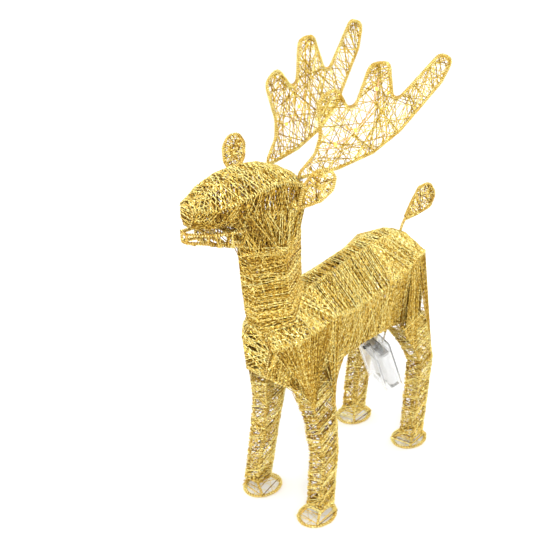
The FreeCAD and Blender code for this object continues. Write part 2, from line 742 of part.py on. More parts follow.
LUG_STEEP = 0.8             # the lug's web leaves its round end at these two shares of the radius
LUG_FLAT = 0.6


def hanging_tab():
    """The lug behind the top of the box: a rounded plate with the hanger wire's hole."""
    width = dim("lug_width")
    radius = dim("lug_radius")
    back = -dim("lug_reach")
    top = -dim("lug_drop")
    round_end = Part.makeCylinder(radius, width, V(-width / 2, 0, 0), V(1, 0, 0))
    outline = [V(0, back, top - dim("lug_length")), V(0, back, top),
               V(0, -radius * LUG_FLAT, radius * LUG_STEEP), V(0, radius * LUG_STEEP, -radius * LUG_FLAT)]
    web = Part.Face(Part.makePolygon(outline + [outline[0]])).extrude(V(width, 0, 0))
    web.translate(V(-width / 2, 0, 0))
    bore_radius = dim("pin_diameter") / 2 + dim("pin_clearance")
    bore = Part.makeCylinder(bore_radius, 2 * width, V(-width, 0, 0), V(1, 0, 0))
    return round_end.fuse(web).cut(bore).removeSplitter()


add_part("hanging_tab", hanging_tab(), hanging)

# ---------------------------------------------------------------- hanger, lead and LED string

HANGER_BEND = 2.0
LEAD_BEND = 4.0             # the lead turns out of the back wall and up in the lug's short reach
LEAD_END = 0.2              # the lead and the LED string meet end to end with this gap each
half = dim("hanger_half")
reach_up = dim("hanger_reach")
hanger_wire = tube([V(-half, 0, reach_up), V(-half, 0, 0), V(half, 0, 0), V(half, 0, reach_up)],
                   dim("pin_diameter"), HANGER_BEND)
to_deer_hanger = FreeCAD.Placement(pivot, heading).toMatrix()
hanger_in_deer = hanger_wire.transformed(to_deer_hanger)

LEAD_X = -12.0              # lead beside the middle of the hanging box
string_start = FreeCAD.Placement(pivot, heading).multVec(V(LEAD_X, 0, LEAD_END))
lead_hole = V(LEAD_X, -dim("lug_reach"), -dim("lead_drop"))
lead_route = [lead_hole, V(LEAD_X, 0, lead_hole.z), V(LEAD_X, 0, -LEAD_END)]
lead = cord("battery_lead", lead_route, dim("lead_diameter"), LEAD_BEND)
gland = Part.makeCylinder(dim("gland_diameter") / 2, dim("gland_length"), lead_hole, V(0, 1, 0))
add_part("battery_lead", lead, hanging)
add_part("lead_gland", gland.cut(lead), hanging)

STRING_ROUTE = [
    string_start,
    string_start + V(0, 0, 24),
    V(26, 0, 250),
    V(35, -38, 268),
    V(33, -82, 276),
    V(22, -122, 292),
    V(15, -147, 322),
    V(14, -160, 362),
    V(14.5, -160, 402),
]
STRING_BEND = 12.0
HEAD_ROUTE = [V(15, -168, 428), V(20, -196, 446), V(15, -232, 456), V(6, -262, 459)]
string_route = STRING_ROUTE + [head_in_deer.multVec(point) for point in HEAD_ROUTE]
string = cord("led_string", string_route, dim("string_diameter"), STRING_BEND)


def bead_middle(route, index, share):
    """A place part of the way along one run of a route."""
    return route[index] * (1 - share) + route[index + 1] * share


def bead(middle, wire):
    """A resin drop around the wire."""
    return Part.makeSphere(dim("bead_diameter") / 2, middle).cut(wire)


# Each drop's run of the route, and its place along that run.
BEAD_RUNS = [
    (2, 0.5), (3, 0.5), (4, 0.5), (5, 0.5), (6, 0.5),
    (7, 0.3), (7, 0.8), (9, 0.5), (10, 0.5), (11, 0.6),
]
bead_middles = [bead_middle(string_route, index, share) for index, share in BEAD_RUNS]
beads = [bead(middle, string) for middle in bead_middles]
add_part("led_string", string, deer)
add_part("led_beads", Part.makeCompound(beads), deer)

# ---------------------------------------------------------------- frames and windings of the body

torso_wires = torso.wires()
torso_frame = welded(torso_wires)
head_frame = skull.frame()
to_head = head_in_deer.inverse().toMatrix()
to_deer = head_in_deer.toMatrix()
head_frame_in_deer = head_frame.transformed(to_deer)
neck_frame = largest(neck.frame().cut(torso_wires).cut(head_frame_in_deer))
neck_winding = neck.skin().cut(skull.outer.transformed(to_deer)).cut(torso.inner)
torso_winding = torso.skin().cut(neck.outer)
head_winding = skull.skin().cut(neck.inner.transformed(to_head))
jaw_winding = jaw.skin().cut([skull.outer, neck.outer.transformed(to_head)])
jaw_frame = jaw.frame().cut(skull.outer)

for name, leg in legs.items():
    sign = 1 if name.endswith("left") else -1
    x, y = feet[name]
    centre = V(sign * x, y, wire_radius)
    heel = centre + V(0, dim("foot_length") / 2, 0)
    side_point = centre + V(dim("foot_width") / 2, 0, 0)
    path = Part.Wire(Part.Ellipse(heel, side_point, centre).toShape())
    section_wire = Part.Wire(Part.makeCircle(wire_radius, heel, V(1, 0, 0)))
    torso_winding = torso_winding.cut(leg.outer)
    add_part("hoof_loop_" + name, path.makePipeShell([section_wire], True, True), deer)
    add_part("leg_frame_" + name, leg.frame(), deer)
    add_part("leg_winding_" + name, leg.skin().cut(torso.outer), deer)

# ---------------------------------------------------------------- ears, tail and antlers

HOLE = 0.8                  # a winding's hole is wider than the wire that goes through it
STEM_BEND = 6.0


def stem_hole(route):
    return tube(route, dim("wire_diameter") + HOLE, STEM_BEND)


def paddle(label, outline, bend, stem, base_frame, frame_placement, welded_to):
    """A stem with a closed loop on its end, and the cord panel inside the loop."""
    loop = tube(loop_points(outline), dim("wire_diameter"), bend)
    loop = loop.transformed(base_frame.toMatrix())
    stem_wire = tube(stem, dim("wire_diameter"), STEM_BEND)
    frame = welded([stem_wire, loop]).cut(welded_to)
    add_part(label + "_frame", frame, frame_placement)
    add_part(label + "_winding", panel(outline, bend), frame_placement.multiply(base_frame))


for side, sign in (("left", 1), ("right", -1)):
    stem = [on_side(sign, point) for point in EAR_STEM]
    ear_frame = local_frame(stem[-1], V(*EAR_ACROSS[side]), V(*EAR_ALONG[side]))
    paddle("ear_" + side, EAR_OUTLINE, EAR_BEND, stem, ear_frame, head, head_frame)
    head_winding = head_winding.cut(stem_hole(stem))

tail_stem = [V(*point) for point in TAIL_STEM]
tail_frame = local_frame(tail_stem[-1], V(*TAIL_ACROSS), V(*TAIL_ALONG))
paddle("tail", TAIL_OUTLINE, TAIL_BEND, tail_stem, tail_frame, deer, torso_wires)
torso_winding = torso_winding.cut(stem_hole(tail_stem))

ANTLER_STRING_BEND = 10.0
SOCKET_HOLE_LENGTH = 40.0   # cut through the head's winding round a socket
up = V(0, 0, 1)
rim = dim("socket_above")
for side, sign in (("left", 1), ("right", -1)):
    base = on_side(sign, (dim("antler_x"), dim("antler_y"), dim("antler_z")))
    flat = local_frame(base, on_side(sign, ANTLER_ACROSS), on_side(sign, ANTLER_ALONG))
    swing = FreeCAD.Placement(V(), FreeCAD.Rotation(V(0, 1, 0), -dim("antler_swing_" + side)))
    post_foot = rim - dim("post_length")
    bore_low = post_foot - dim("post_end_gap")
    socket_low = bore_low - dim("socket_floor")
    sleeve = Part.makeCylinder(dim("socket_diameter") / 2, rim - socket_low, V(0, 0, socket_low), up)
    bore_radius = dim("post_diameter") / 2 + dim("post_clearance")
    bore = Part.makeCylinder(bore_radius, rim - bore_low, V(0, 0, bore_low), up)
    post = Part.makeCylinder(dim("post_diameter") / 2, dim("post_length"), V(0, 0, post_foot), up)
    collar = Part.makeCylinder(dim("collar_diameter") / 2, dim("collar_height"), V(0, 0, rim), up)
    add_part("antler_socket_" + side, sleeve.cut(bore), head.multiply(flat))
    antler_wire = tube(loop_points(ANTLER_OUTLINE), dim("wire_diameter"), ANTLER_BEND)
    post = post.fuse(collar).removeSplitter().cut(antler_wire.transformed(swing.toMatrix()))
    add_part("antler_post_" + side, post, head.multiply(flat))
    in_head = flat.toMatrix()
    head_frame = head_frame.cut(sleeve.transformed(in_head))
    hole_radius = (dim("socket_diameter") + HOLE) / 2
    hole = Part.makeCylinder(hole_radius, SOCKET_HOLE_LENGTH, V(0, 0, rim - SOCKET_HOLE_LENGTH / 2), up)
    head_winding = head_winding.cut(hole.transformed(in_head))

    swung = head.multiply(flat).multiply(swing)
    add_part("antler_frame_" + side, antler_wire, swung)
    add_part("antler_winding_" + side, panel(ANTLER_OUTLINE, ANTLER_BEND), swung)
    lift = sign * dim("string_lift")
    antler_route = [V(u, -lift, v) for u, v in ANTLER_STRING]
    antler_string = cord("antler_string_" + side, antler_route, dim("string_diameter"), ANTLER_STRING_BEND)
    add_part("antler_string_" + side, antler_string, swung)
    antler_beads = [bead(bead_middle(antler_route, index, 0.5), antler_string) for index in ANTLER_BEADS]
    add_part("antler_beads_" + side, Part.makeCompound(antler_beads), swung)

# ---------------------------------------------------------------- holes for the string and the hanger

string_room = tube(string_route, dim("string_diameter") + HOLE, STRING_BEND)
bead_room = (dim("bead_diameter") + HOLE) / 2
rooms = [string_room] + [Part.makeSphere(bead_room, middle) for middle in bead_middles]
torso_winding = torso_winding.cut(rooms)
neck_winding = neck_winding.cut(rooms)
head_winding = head_winding.cut([room.transformed(to_head) for room in rooms])
for x in (-half, half):
    foot = V(x, 0, 0)
    wire_hole = Part.makeCylinder((dim("pin_diameter") + HOLE) / 2, 2 * reach_up, foot, up)
    torso_winding = torso_winding.cut(wire_hole.transformed(to_deer_hanger))
add_part("hanger_wire", hanger_in_deer.cut(torso_wires), deer)

add_part("torso_frame", torso_frame, deer)
add_part("torso_winding", torso_winding, deer)
add_part("neck_frame", neck_frame, deer)
add_part("neck_winding", neck_winding, deer)
add_part("head_frame", head_frame, head)
add_part("head_winding", head_winding, head)
add_part("jaw_frame", jaw_frame, head)
add_part("jaw_winding", jaw_winding, head)

# ---------------------------------------------------------------- checks and export

doc.recompute()
for item in doc.Objects:
    if "Invalid" in item.State or "Error" in item.State:
        raise RuntimeError("%s did not compute" % item.Label)
for part in parts:
    if part.Shape.isNull() or not part.Shape.isValid():
        raise RuntimeError("%s has no valid shape" % part.Label)
os.makedirs("parts", exist_ok=True)
for part in parts:
    part.Shape.exportStep("parts/%s.step" % part.Label)
    print(part.Label, len(part.Shape.Solids), round(part.Shape.Volume, 1))
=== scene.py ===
import json
import math
import random

import bpy
from mathutils import Matrix, Vector


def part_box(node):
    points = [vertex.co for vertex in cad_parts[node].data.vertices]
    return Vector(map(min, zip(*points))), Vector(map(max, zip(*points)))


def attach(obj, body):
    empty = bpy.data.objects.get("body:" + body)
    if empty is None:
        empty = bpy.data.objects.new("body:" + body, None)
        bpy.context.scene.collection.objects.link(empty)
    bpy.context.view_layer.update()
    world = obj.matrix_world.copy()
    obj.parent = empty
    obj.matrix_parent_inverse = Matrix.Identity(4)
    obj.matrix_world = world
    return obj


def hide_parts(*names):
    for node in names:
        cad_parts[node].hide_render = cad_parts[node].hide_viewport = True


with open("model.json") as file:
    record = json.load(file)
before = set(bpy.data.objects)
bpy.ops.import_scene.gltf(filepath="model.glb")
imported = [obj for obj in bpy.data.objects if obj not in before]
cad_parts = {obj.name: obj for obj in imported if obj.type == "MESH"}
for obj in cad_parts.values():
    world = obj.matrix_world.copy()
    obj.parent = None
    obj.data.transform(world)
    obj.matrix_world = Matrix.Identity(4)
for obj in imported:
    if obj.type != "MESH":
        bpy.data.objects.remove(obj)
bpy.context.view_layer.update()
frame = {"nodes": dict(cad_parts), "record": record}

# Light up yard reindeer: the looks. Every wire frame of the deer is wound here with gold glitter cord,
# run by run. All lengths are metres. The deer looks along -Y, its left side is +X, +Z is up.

chance = random.Random(24)
UP = Vector((0, 0, 1))


# ---------------------------------------------------------------- places taken from the frame

def box_middle(node):
    low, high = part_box(node)
    return (Vector(low) + Vector(high)) / 2


FOOT_TRACK = 0.046          # middle of the body to the middle of the front left foot
FRONT_FOOT = -0.112         # place of the front feet along the deer
HIND_FOOT = 0.107           # place of the hind feet along the deer
HEAD_TURN = math.radians(-9.6)
HEAD_PIVOT = Vector((0, -0.150, 0))

front_left_loop = box_middle("hoof_loop_front_left")
deer = Matrix.Translation((front_left_loop.x - FOOT_TRACK, front_left_loop.y - FRONT_FOOT, 0))
head_turn = (Matrix.Translation(HEAD_PIVOT) @ Matrix.Rotation(HEAD_TURN, 4, "Z")
             @ Matrix.Translation(-HEAD_PIVOT))
head = deer @ head_turn


def placed(matrix, polygons):
    return [[matrix @ point for point in polygon] for polygon in polygons]


def local_frame(base, across, along):
    """A matrix with local Z along, and local X as near to across as it can be."""
    z = along.normalized()
    x = (across - z * across.dot(z)).normalized()
    y = z.cross(x)
    turn = Matrix((x, y, z)).transposed().to_4x4()
    return Matrix.Translation(base) @ turn


# ---------------------------------------------------------------- the wound columns, as in the CAD

WIRE = 0.0015               # radius of a long wire or a loop wire
HOOP = 0.0013               # radius of a hoop
WIRE_BEND = 0.005           # smallest bend of a frame wire


def mirrored(point):
    return Vector((-point.x, point.y, point.z))


def section(y, *half):
    """A left-right symmetric polygon across the deer: half lists its (x, z) corners from the top down."""
    left = [Vector((x, y, z)) for x, z in half]
    right = [Vector((-x, y, z)) for x, z in reversed(half)]
    return left + right


TORSO = placed(deer, [
    section(-0.187, (0.008, 0.292), (0.020, 0.268), (0.013, 0.232)),
    section(-0.165, (0.008, 0.303), (0.037, 0.272), (0.024, 0.213)),
    section(-0.140, (0.009, 0.309), (0.045, 0.280), (0.030, 0.207)),
    section(-0.105, (0.009, 0.312), (0.047, 0.287), (0.034, 0.209)),
    section(-0.065, (0.009, 0.316), (0.048, 0.283), (0.038, 0.217)),
    section(-0.020, (0.009, 0.322), (0.047, 0.284), (0.038, 0.219)),
    section(0.038, (0.009, 0.326), (0.047, 0.289), (0.038, 0.216)),
    section(0.075, (0.009, 0.323), (0.046, 0.303), (0.040, 0.209)),
    section(0.100, (0.009, 0.314), (0.039, 0.300), (0.042, 0.205)),
    section(0.116, (0.009, 0.298), (0.027, 0.288), (0.030, 0.212)),
])
TOP_LEFT, SIDE_LEFT, BELLY_LEFT, BELLY_RIGHT, SIDE_RIGHT, TOP_RIGHT = range(6)


def neck_section(front, back, half_width):
    """A six-cornered section from its front and back (y, z) points."""
    front_y, front_z = front
    back_y, back_z = back
    edge = 0.008
    side_share = 0.42
    side_y = front_y + (back_y - front_y) * side_share
    side_z = front_z + (back_z - front_z) * side_share
    left = [Vector((edge, front_y, front_z)), Vector((half_width, side_y, side_z)),
            Vector((edge, back_y, back_z))]
    return left + [mirrored(point) for point in reversed(left)]


NECK = placed(deer, [
    neck_section((-0.212, 0.402), (-0.130, 0.398), 0.027),
    neck_section((-0.208, 0.375), (-0.128, 0.376), 0.025),
    neck_section((-0.202, 0.342), (-0.126, 0.350), 0.0255),
    neck_section((-0.196, 0.312), (-0.123, 0.328), 0.0275),
    neck_section((-0.187, 0.285), (-0.116, 0.309), 0.030),
])

SKULL = placed(head, [
    section(-0.281, (0.004, 0.463), (0.009, 0.459), (0.009, 0.449), (0.005, 0.441)),
    section(-0.262, (0.009, 0.473), (0.021, 0.458), (0.018, 0.445), (0.012, 0.438)),
    section(-0.238, (0.010, 0.481), (0.029, 0.464), (0.026, 0.449), (0.017, 0.437)),
    section(-0.212, (0.011, 0.484), (0.031, 0.471), (0.029, 0.446), (0.021, 0.424)),
    section(-0.180, (0.011, 0.481), (0.031, 0.473), (0.031, 0.443), (0.025, 0.404)),
    section(-0.150, (0.011, 0.470), (0.029, 0.463), (0.028, 0.438), (0.022, 0.402)),
    section(-0.132, (0.008, 0.455), (0.014, 0.448), (0.014, 0.430), (0.010, 0.405)),
])

JAW = placed(head, [
    section(-0.285, (0.005, 0.432), (0.004, 0.422)),
    section(-0.262, (0.013, 0.428), (0.010, 0.417)),
    section(-0.240, (0.019, 0.427), (0.014, 0.411)),
    section(-0.219, (0.022, 0.426), (0.017, 0.407)),
])

FOOT_WIDTH = 0.042
FOOT_LENGTH = 0.054
FOOT_TOP = 0.0041           # where the leg wires stand on the foot loop
ANKLE = 0.014


def leg_section(middle, z, half_x, half_y):
    x, y = middle
    return [
        Vector((x + half_x, y - half_y, z)),
        Vector((x + half_x, y + half_y, z)),
        Vector((x - half_x, y + half_y, z)),
        Vector((x - half_x, y - half_y, z)),
    ]


def foot_section(middle):
    diagonal = math.sqrt(0.5)
    return leg_section(middle, FOOT_TOP, FOOT_WIDTH / 2 * diagonal, FOOT_LENGTH / 2 * diagonal)


def front_leg(foot, ankle_middle, knee_middle):
    return [
        foot_section(foot),
        leg_section(ankle_middle, ANKLE, 0.009, 0.012),
        leg_section(knee_middle, 0.100, 0.0095, 0.013),
        leg_section((FOOT_TRACK - 0.005, FRONT_FOOT + 0.001), 0.148, 0.0095, 0.0165),
        leg_section((FOOT_TRACK - 0.010, FRONT_FOOT - 0.005), 0.180, 0.011, 0.020),
        leg_section((FOOT_TRACK - 0.015, FRONT_FOOT - 0.0055), 0.203, 0.0132, 0.026),
        leg_section((FOOT_TRACK - 0.020, FRONT_FOOT + 0.003), 0.232, 0.015, 0.039),
    ]


def hind_leg(foot, ankle_middle, knee_middle):
    return [
        foot_section(foot),
        leg_section(ankle_middle, ANKLE, 0.009, 0.011),
        leg_section(knee_middle, 0.095, 0.0095, 0.0115),
        leg_section((FOOT_TRACK - 0.001, HIND_FOOT + 0.002), 0.138, 0.0095, 0.013),
        leg_section((FOOT_TRACK - 0.004, HIND_FOOT - 0.011), 0.168, 0.0105, 0.017),
        leg_section((FOOT_TRACK - 0.0085, HIND_FOOT - 0.028), 0.199, 0.013, 0.0235),
        leg_section((FOOT_TRACK - 0.011, HIND_FOOT - 0.039), 0.224, 0.015, 0.027),
    ]


def other_side(polygons):
    return [[mirrored(point) for point in reversed(polygon)] for polygon in polygons]


LEGS = {
    "front_left": front_leg(
        (FOOT_TRACK, FRONT_FOOT),
        (FOOT_TRACK, FRONT_FOOT + 0.006),
        (FOOT_TRACK, FRONT_FOOT + 0.006)),
    "front_right": other_side(front_leg(
        (FOOT_TRACK - 0.001, FRONT_FOOT),
        (FOOT_TRACK + 0.006, FRONT_FOOT - 0.002),
        (FOOT_TRACK + 0.001, FRONT_FOOT + 0.003))),
    "hind_left": hind_leg(
        (FOOT_TRACK - 0.006, HIND_FOOT + 0.004),
        (FOOT_TRACK - 0.001, HIND_FOOT),
        (FOOT_TRACK, HIND_FOOT)),
    "hind_right": other_side(hind_leg(
        (FOOT_TRACK + 0.008, HIND_FOOT),
        (FOOT_TRACK + 0.006, HIND_FOOT - 0.005),
        (FOOT_TRACK + 0.004, HIND_FOOT - 0.004))),
}


# ---------------------------------------------------------------- materials

TONE_AND_PAINTED_SHADE = "shade"             # how light a cord is painted, from 0 for one deep in the winding to 1 on its outside: painted shade for its depth, with a random tone
FLAKE_TONE_AND_GLINT_SPREAD = 0.24         # how far a flake's lightness may be from its cord's, at random: a flake tone that also serves as painted glints


def new_material(name):
    material = bpy.data.materials.new(name)
    material.use_nodes = True
    tree = material.node_tree
    return material, tree, tree.nodes["Principled BSDF"]


def node(tree, kind, **values):
    made = tree.nodes.new(kind)
    for key, value in values.items():
        setattr(made, key, value)
    return made


def ramp(tree, factor, stops):
    made = node(tree, "ShaderNodeValToRGB")
    elements = made.color_ramp.elements
    while len(elements) < len(stops):
        elements.new(0.5)
    for element, (position, colour) in zip(elements, stops):
        element.position = position
        element.color = (*colour, 1)
    tree.links.new(factor, made.inputs["Fac"])
    return made.outputs["Color"]


def texture(tree, kind, scale, **values):
    """A texture on the piece's own coordinates, which are the deer's: scale is cells per metre."""
    place = node(tree, "ShaderNodeTexCoord")
    made = node(tree, kind)
    made.inputs["Scale"].default_value = scale
    for key, value in values.items():
        made.inputs[key].default_value = value
    tree.links.new(place.outputs["Object"], made.inputs["Vector"])
    return made


def glitter_material(name, stops, flake=0.0011):
    """Metallised yarn: foil flakes that are each turned their own way and each a little lighter or darker at
    random, as painted glints, on cords painted darker the deeper they lie, as painted shade, and varied in
    tone.
    """
    material, tree, shader = new_material(name)
    flakes = texture(tree, "ShaderNodeTexVoronoi", 1 / flake)
    split = node(tree, "ShaderNodeSeparateColor")
    tree.links.new(flakes.outputs["Color"], split.inputs["Color"])
    # the cord's painted shade for its depth, with its random tone, read from its points
    strand = node(tree, "ShaderNodeAttribute", attribute_name=TONE_AND_PAINTED_SHADE)
    spread = node(tree, "ShaderNodeMapRange")
    spread.inputs["To Min"].default_value = -FLAKE_TONE_AND_GLINT_SPREAD
    spread.inputs["To Max"].default_value = FLAKE_TONE_AND_GLINT_SPREAD
    tree.links.new(split.outputs["Red"], spread.inputs["Value"])
    total = node(tree, "ShaderNodeMath", operation="ADD", use_clamp=True)
    tree.links.new(strand.outputs["Fac"], total.inputs[0])
    tree.links.new(spread.outputs["Result"], total.inputs[1])
    colour = ramp(tree, total.outputs["Value"], stops)
    tree.links.new(colour, shader.inputs["Base Color"])
    rough = node(tree, "ShaderNodeMapRange")
    rough.inputs["To Min"].default_value = 0.20
    rough.inputs["To Max"].default_value = 0.50
    tree.links.new(split.outputs["Green"], rough.inputs["Value"])
    tree.links.new(rough.outputs["Result"], shader.inputs["Roughness"])
    bump = node(tree, "ShaderNodeBump")
    bump.inputs["Strength"].default_value = 0.6
    bump.inputs["Distance"].default_value = 0.0004
    tree.links.new(split.outputs["Blue"], bump.inputs["Height"])
    tree.links.new(bump.outputs["Normal"], shader.inputs["Normal"])
    shader.inputs["Metallic"].default_value = 0.85
    return material


def painted_wire(name, colour, worn):
    """Gold spray paint with small thin spots."""
    material, tree, shader = new_material(name)
    spots = texture(tree, "ShaderNodeTexNoise", 420.0, Detail=4.0)
    shade = ramp(tree, spots.outputs["Fac"], [(0.30, worn), (0.55, colour)])
    tree.links.new(shade, shader.inputs["Base Color"])
    rough = ramp(tree, spots.outputs["Fac"], [(0.3, (0.5, 0.5, 0.5)), (0.7, (0.3, 0.3, 0.3))])
    tree.links.new(rough, shader.inputs["Roughness"])
    shader.inputs["Metallic"].default_value = 0.85
    return material


def moulded(name, colour, second, roughness, metallic=0.0, scale=900.0):
    """Moulded or plated surface with a fine grain."""
    material, tree, shader = new_material(name)
    grain = texture(tree, "ShaderNodeTexNoise", scale, Detail=3.0)
    shade = ramp(tree, grain.outputs["Fac"], [(0.35, colour), (0.7, second)])
    tree.links.new(shade, shader.inputs["Base Color"])
    bump = node(tree, "ShaderNodeBump")
    bump.inputs["Strength"].default_value = 0.15
    bump.inputs["Distance"].default_value = 0.0001
    tree.links.new(grain.outputs["Fac"], bump.inputs["Height"])
    tree.links.new(bump.outputs["Normal"], shader.inputs["Normal"])
    shader.inputs["Roughness"].default_value = roughness
    shader.inputs["Metallic"].default_value = metallic
    return material


def clear_plastic(name):
    """Milky clear plastic with a little haze."""
    material, tree, shader = new_material(name)
    haze = texture(tree, "ShaderNodeTexNoise", 120.0, Detail=3.0)
    rough = ramp(tree, haze.outputs["Fac"], [(0.35, (0.06, 0.06, 0.06)), (0.75, (0.16, 0.16, 0.16))])
    tree.links.new(rough, shader.inputs["Roughness"])
    tint = ramp(tree, haze.outputs["Fac"], [(0.3, (0.97, 0.975, 0.98)), (0.8, (0.99, 0.99, 0.99))])
    tree.links.new(tint, shader.inputs["Base Color"])
    shader.inputs["Transmission Weight"].default_value = 0.88
    shader.inputs["IOR"].default_value = 1.07
    return material


def led_material(name):
    material, tree, shader = new_material(name)
    glow = texture(tree, "ShaderNodeTexNoise", 700.0, Detail=2.0)
    colour = ramp(tree, glow.outputs["Fac"], [(0.3, (1.0, 0.42, 0.03)), (0.7, (1.0, 0.66, 0.12))])
    tree.links.new(colour, shader.inputs["Emission Color"])
    tree.links.new(colour, shader.inputs["Base Color"])
    shader.inputs["Emission Strength"].default_value = 1.0
    shader.inputs["Roughness"].default_value = 0.12
    return material


# The cord ramps run from the dark brown of painted shade on the deepest cords to the light gold of the
# outermost ones.
MATERIALS = {
    "glitter_cord": glitter_material("glitter_cord", [
        (0.02, (0.13, 0.055, 0.003)), (0.28, (0.48, 0.27, 0.025)),
        (0.52, (0.86, 0.61, 0.11)), (0.82, (1.0, 0.91, 0.40))]),
    "antler_cord": glitter_material("antler_cord", [
        (0.02, (0.34, 0.20, 0.02)), (0.30, (0.66, 0.44, 0.05)),
        (0.55, (0.90, 0.68, 0.14)), (0.85, (1.0, 0.93, 0.42))]),
    "frame_wire": painted_wire("frame_wire", (0.62, 0.40, 0.10), (0.35, 0.20, 0.04)),
    "hoof_wire": painted_wire("hoof_wire", (0.66, 0.45, 0.12), (0.40, 0.24, 0.06)),
    "socket_tube": painted_wire("socket_tube", (0.60, 0.39, 0.10), (0.34, 0.20, 0.05)),
    "hanger_steel": painted_wire("hanger_steel", (0.62, 0.42, 0.12), (0.36, 0.22, 0.05)),
    "post_steel": moulded("post_steel", (0.50, 0.50, 0.50), (0.62, 0.61, 0.60), 0.3, metallic=1.0),
    "copper_wire": moulded("copper_wire", (0.85, 0.50, 0.28), (0.95, 0.62, 0.36), 0.28, metallic=1.0),
    "led_resin": led_material("led_resin"),
    "clear_plastic": clear_plastic("clear_plastic"),
    "board": moulded("board", (0.03, 0.05, 0.035), (0.05, 0.07, 0.05), 0.35),
    "switch_metal": moulded("switch_metal", (0.45, 0.45, 0.46), (0.6, 0.6, 0.6), 0.3, metallic=1.0),
    "black_plastic": moulded("black_plastic", (0.012, 0.012, 0.012), (0.03, 0.03, 0.03), 0.45),
    "cell_sleeve": moulded("cell_sleeve", (0.80, 0.80, 0.79), (0.88, 0.88, 0.86), 0.3),
    "contact_metal": moulded("contact_metal", (0.60, 0.60, 0.58), (0.75, 0.75, 0.73), 0.25, metallic=1.0),
    "lead_jacket": moulded("lead_jacket", (0.85, 0.85, 0.83), (0.92, 0.92, 0.90), 0.3),
}


def paint(piece, slot):
    piece.data.materials.clear()
    piece.data.materials.append(MATERIALS[slot])


for subpart in frame["record"]["subparts"]:
    for material_slot in frame["nodes"][subpart["node"]].material_slots:
        material_slot.material = MATERIALS[subpart["material_slot"]]


# ---------------------------------------------------------------- cord

CORD = 0.00068              # radius of the glitter cord
STEP = 0.0038               # length of one twisted stretch of cord
TWIST = math.radians(62)    # turn of the cord's section over one stretch
SIDES = 3
LAYER = 0.0016              # depth over which runs of cord lie on each other
BAND = 0.7                  # share of the layers that a band of cord on a wire lies over
PAINTED_SHADE_DEEPEST = 0.10            # painted shade of the deepest cord, darkest where the winding shades it
PAINTED_SHADE_OUTERMOST = 0.82           # painted lightness of the outermost cord, which gets no painted shade
SHADE_JITTER = 0.13


def clamped(value, low, high):
    return min(max(value, low), high)


def tone_and_painted_shade(depth):
    """The painted lightness of a cord at a depth from 0, the deepest, to 1: painted shade darkens it the
    deeper it lies, and a random tone varies it.
    """
    return clamped(PAINTED_SHADE_DEEPEST + (PAINTED_SHADE_OUTERMOST - PAINTED_SHADE_DEEPEST) * depth + chance.gauss(0, SHADE_JITTER), 0, 1)


def sampled(points, step):
    """The points of a broken line, with more between them so that no stretch is longer than a step."""
    result = [points[0]]
    for start, end in zip(points, points[1:]):
        pieces = max(1, math.ceil((end - start).length / step))
        result += [start.lerp(end, (i + 1) / pieces) for i in range(pieces)]
    return result


class Cord:
    """Runs of cord gathered into one piece: thin twisted tubes, whose flat sides catch the light."""

    def __init__(self, name, slot="glitter_cord", body="reindeer"):
        self.name = name
        self.slot = slot
        self.body = body
        self.points = []
        self.tones_and_painted_shades = []
        self.faces = []

    def run(self, points, radius=CORD, step=STEP, depth=0.8):
        line = sampled(points, step)
        # the lower the run's depth, the darker it is painted, as painted shade deep in the winding
        self.tones_and_painted_shades += [tone_and_painted_shade(depth)] * (SIDES * len(line))
        angle = chance.uniform(0, 2 * math.pi)
        side = Vector((0.31, 0.54, 0.78))
        first = len(self.points)
        last = len(line) - 1
        for i, point in enumerate(line):
            along = (line[min(i + 1, last)] - line[max(i - 1, 0)]).normalized()
            across = side - along * side.dot(along)
            if across.length < 0.1:
                across = along.orthogonal()
            across.normalize()
            over = along.cross(across)
            side = across
            for corner in range(SIDES):
                turn = angle + corner * 2 * math.pi / SIDES
                self.points.append(point + (across * math.cos(turn) + over * math.sin(turn)) * radius)
            angle += TWIST
        for i in range(last):
            row = first + i * SIDES
            for corner in range(SIDES):
                following = (corner + 1) % SIDES
                self.faces.append((row + corner, row + following,
                                   row + SIDES + following, row + SIDES + corner))
        end = first + last * SIDES
        self.faces.append(tuple(range(first + SIDES - 1, first - 1, -1)))
        self.faces.append(tuple(range(end, end + SIDES)))

    def piece(self, *nodes):
        mesh = bpy.data.meshes.new(self.name)
        mesh.from_pydata(self.points, [], self.faces)
        mesh.attributes.new(TONE_AND_PAINTED_SHADE, "FLOAT", "POINT").data.foreach_set("value", self.tones_and_painted_shades)
        made = bpy.data.objects.new(self.name, mesh)
        bpy.context.scene.collection.objects.link(made)
        paint(made, self.slot)
        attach(made, self.body)
        if nodes:
            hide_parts(*nodes)
        return made


# ---------------------------------------------------------------- cord wrapped round a wire

SHORTEST_TANGENT = 0.0015   # a rounded corner starts at least this far from its point
LONGEST_TANGENT = 0.45      # and at most this share of its shorter run


def rounded(points, bend, closed=False):
    """A wire's middle line: straight runs with its corners rounded as the CAD wires are."""
    count = len(points)
    line = []
    for i, corner in enumerate(points):
        if not closed and i in (0, count - 1):
            line.append(corner)
            continue
        before = points[i - 1] - corner
        after = points[(i + 1) % count] - corner
        turn = math.pi - before.angle(after)
        most = LONGEST_TANGENT * min(before.length, after.length)
        tangent = clamped(bend * math.tan(turn / 2), SHORTEST_TANGENT, most)
        start = corner + before.normalized() * tangent
        end = corner + after.normalized() * tangent
        for share in (0, 0.25, 0.5, 0.75, 1):
            line.append(start.lerp(corner, share).lerp(corner.lerp(end, share), share))
    if closed:
        line.append(line[0])
    return line


WRAP_PITCH = 0.0030
WRAP_STEPS = 6
WRAP_STRETCH = 40           # points of a wrap that share one shade
WRAP_CORD = 0.00060


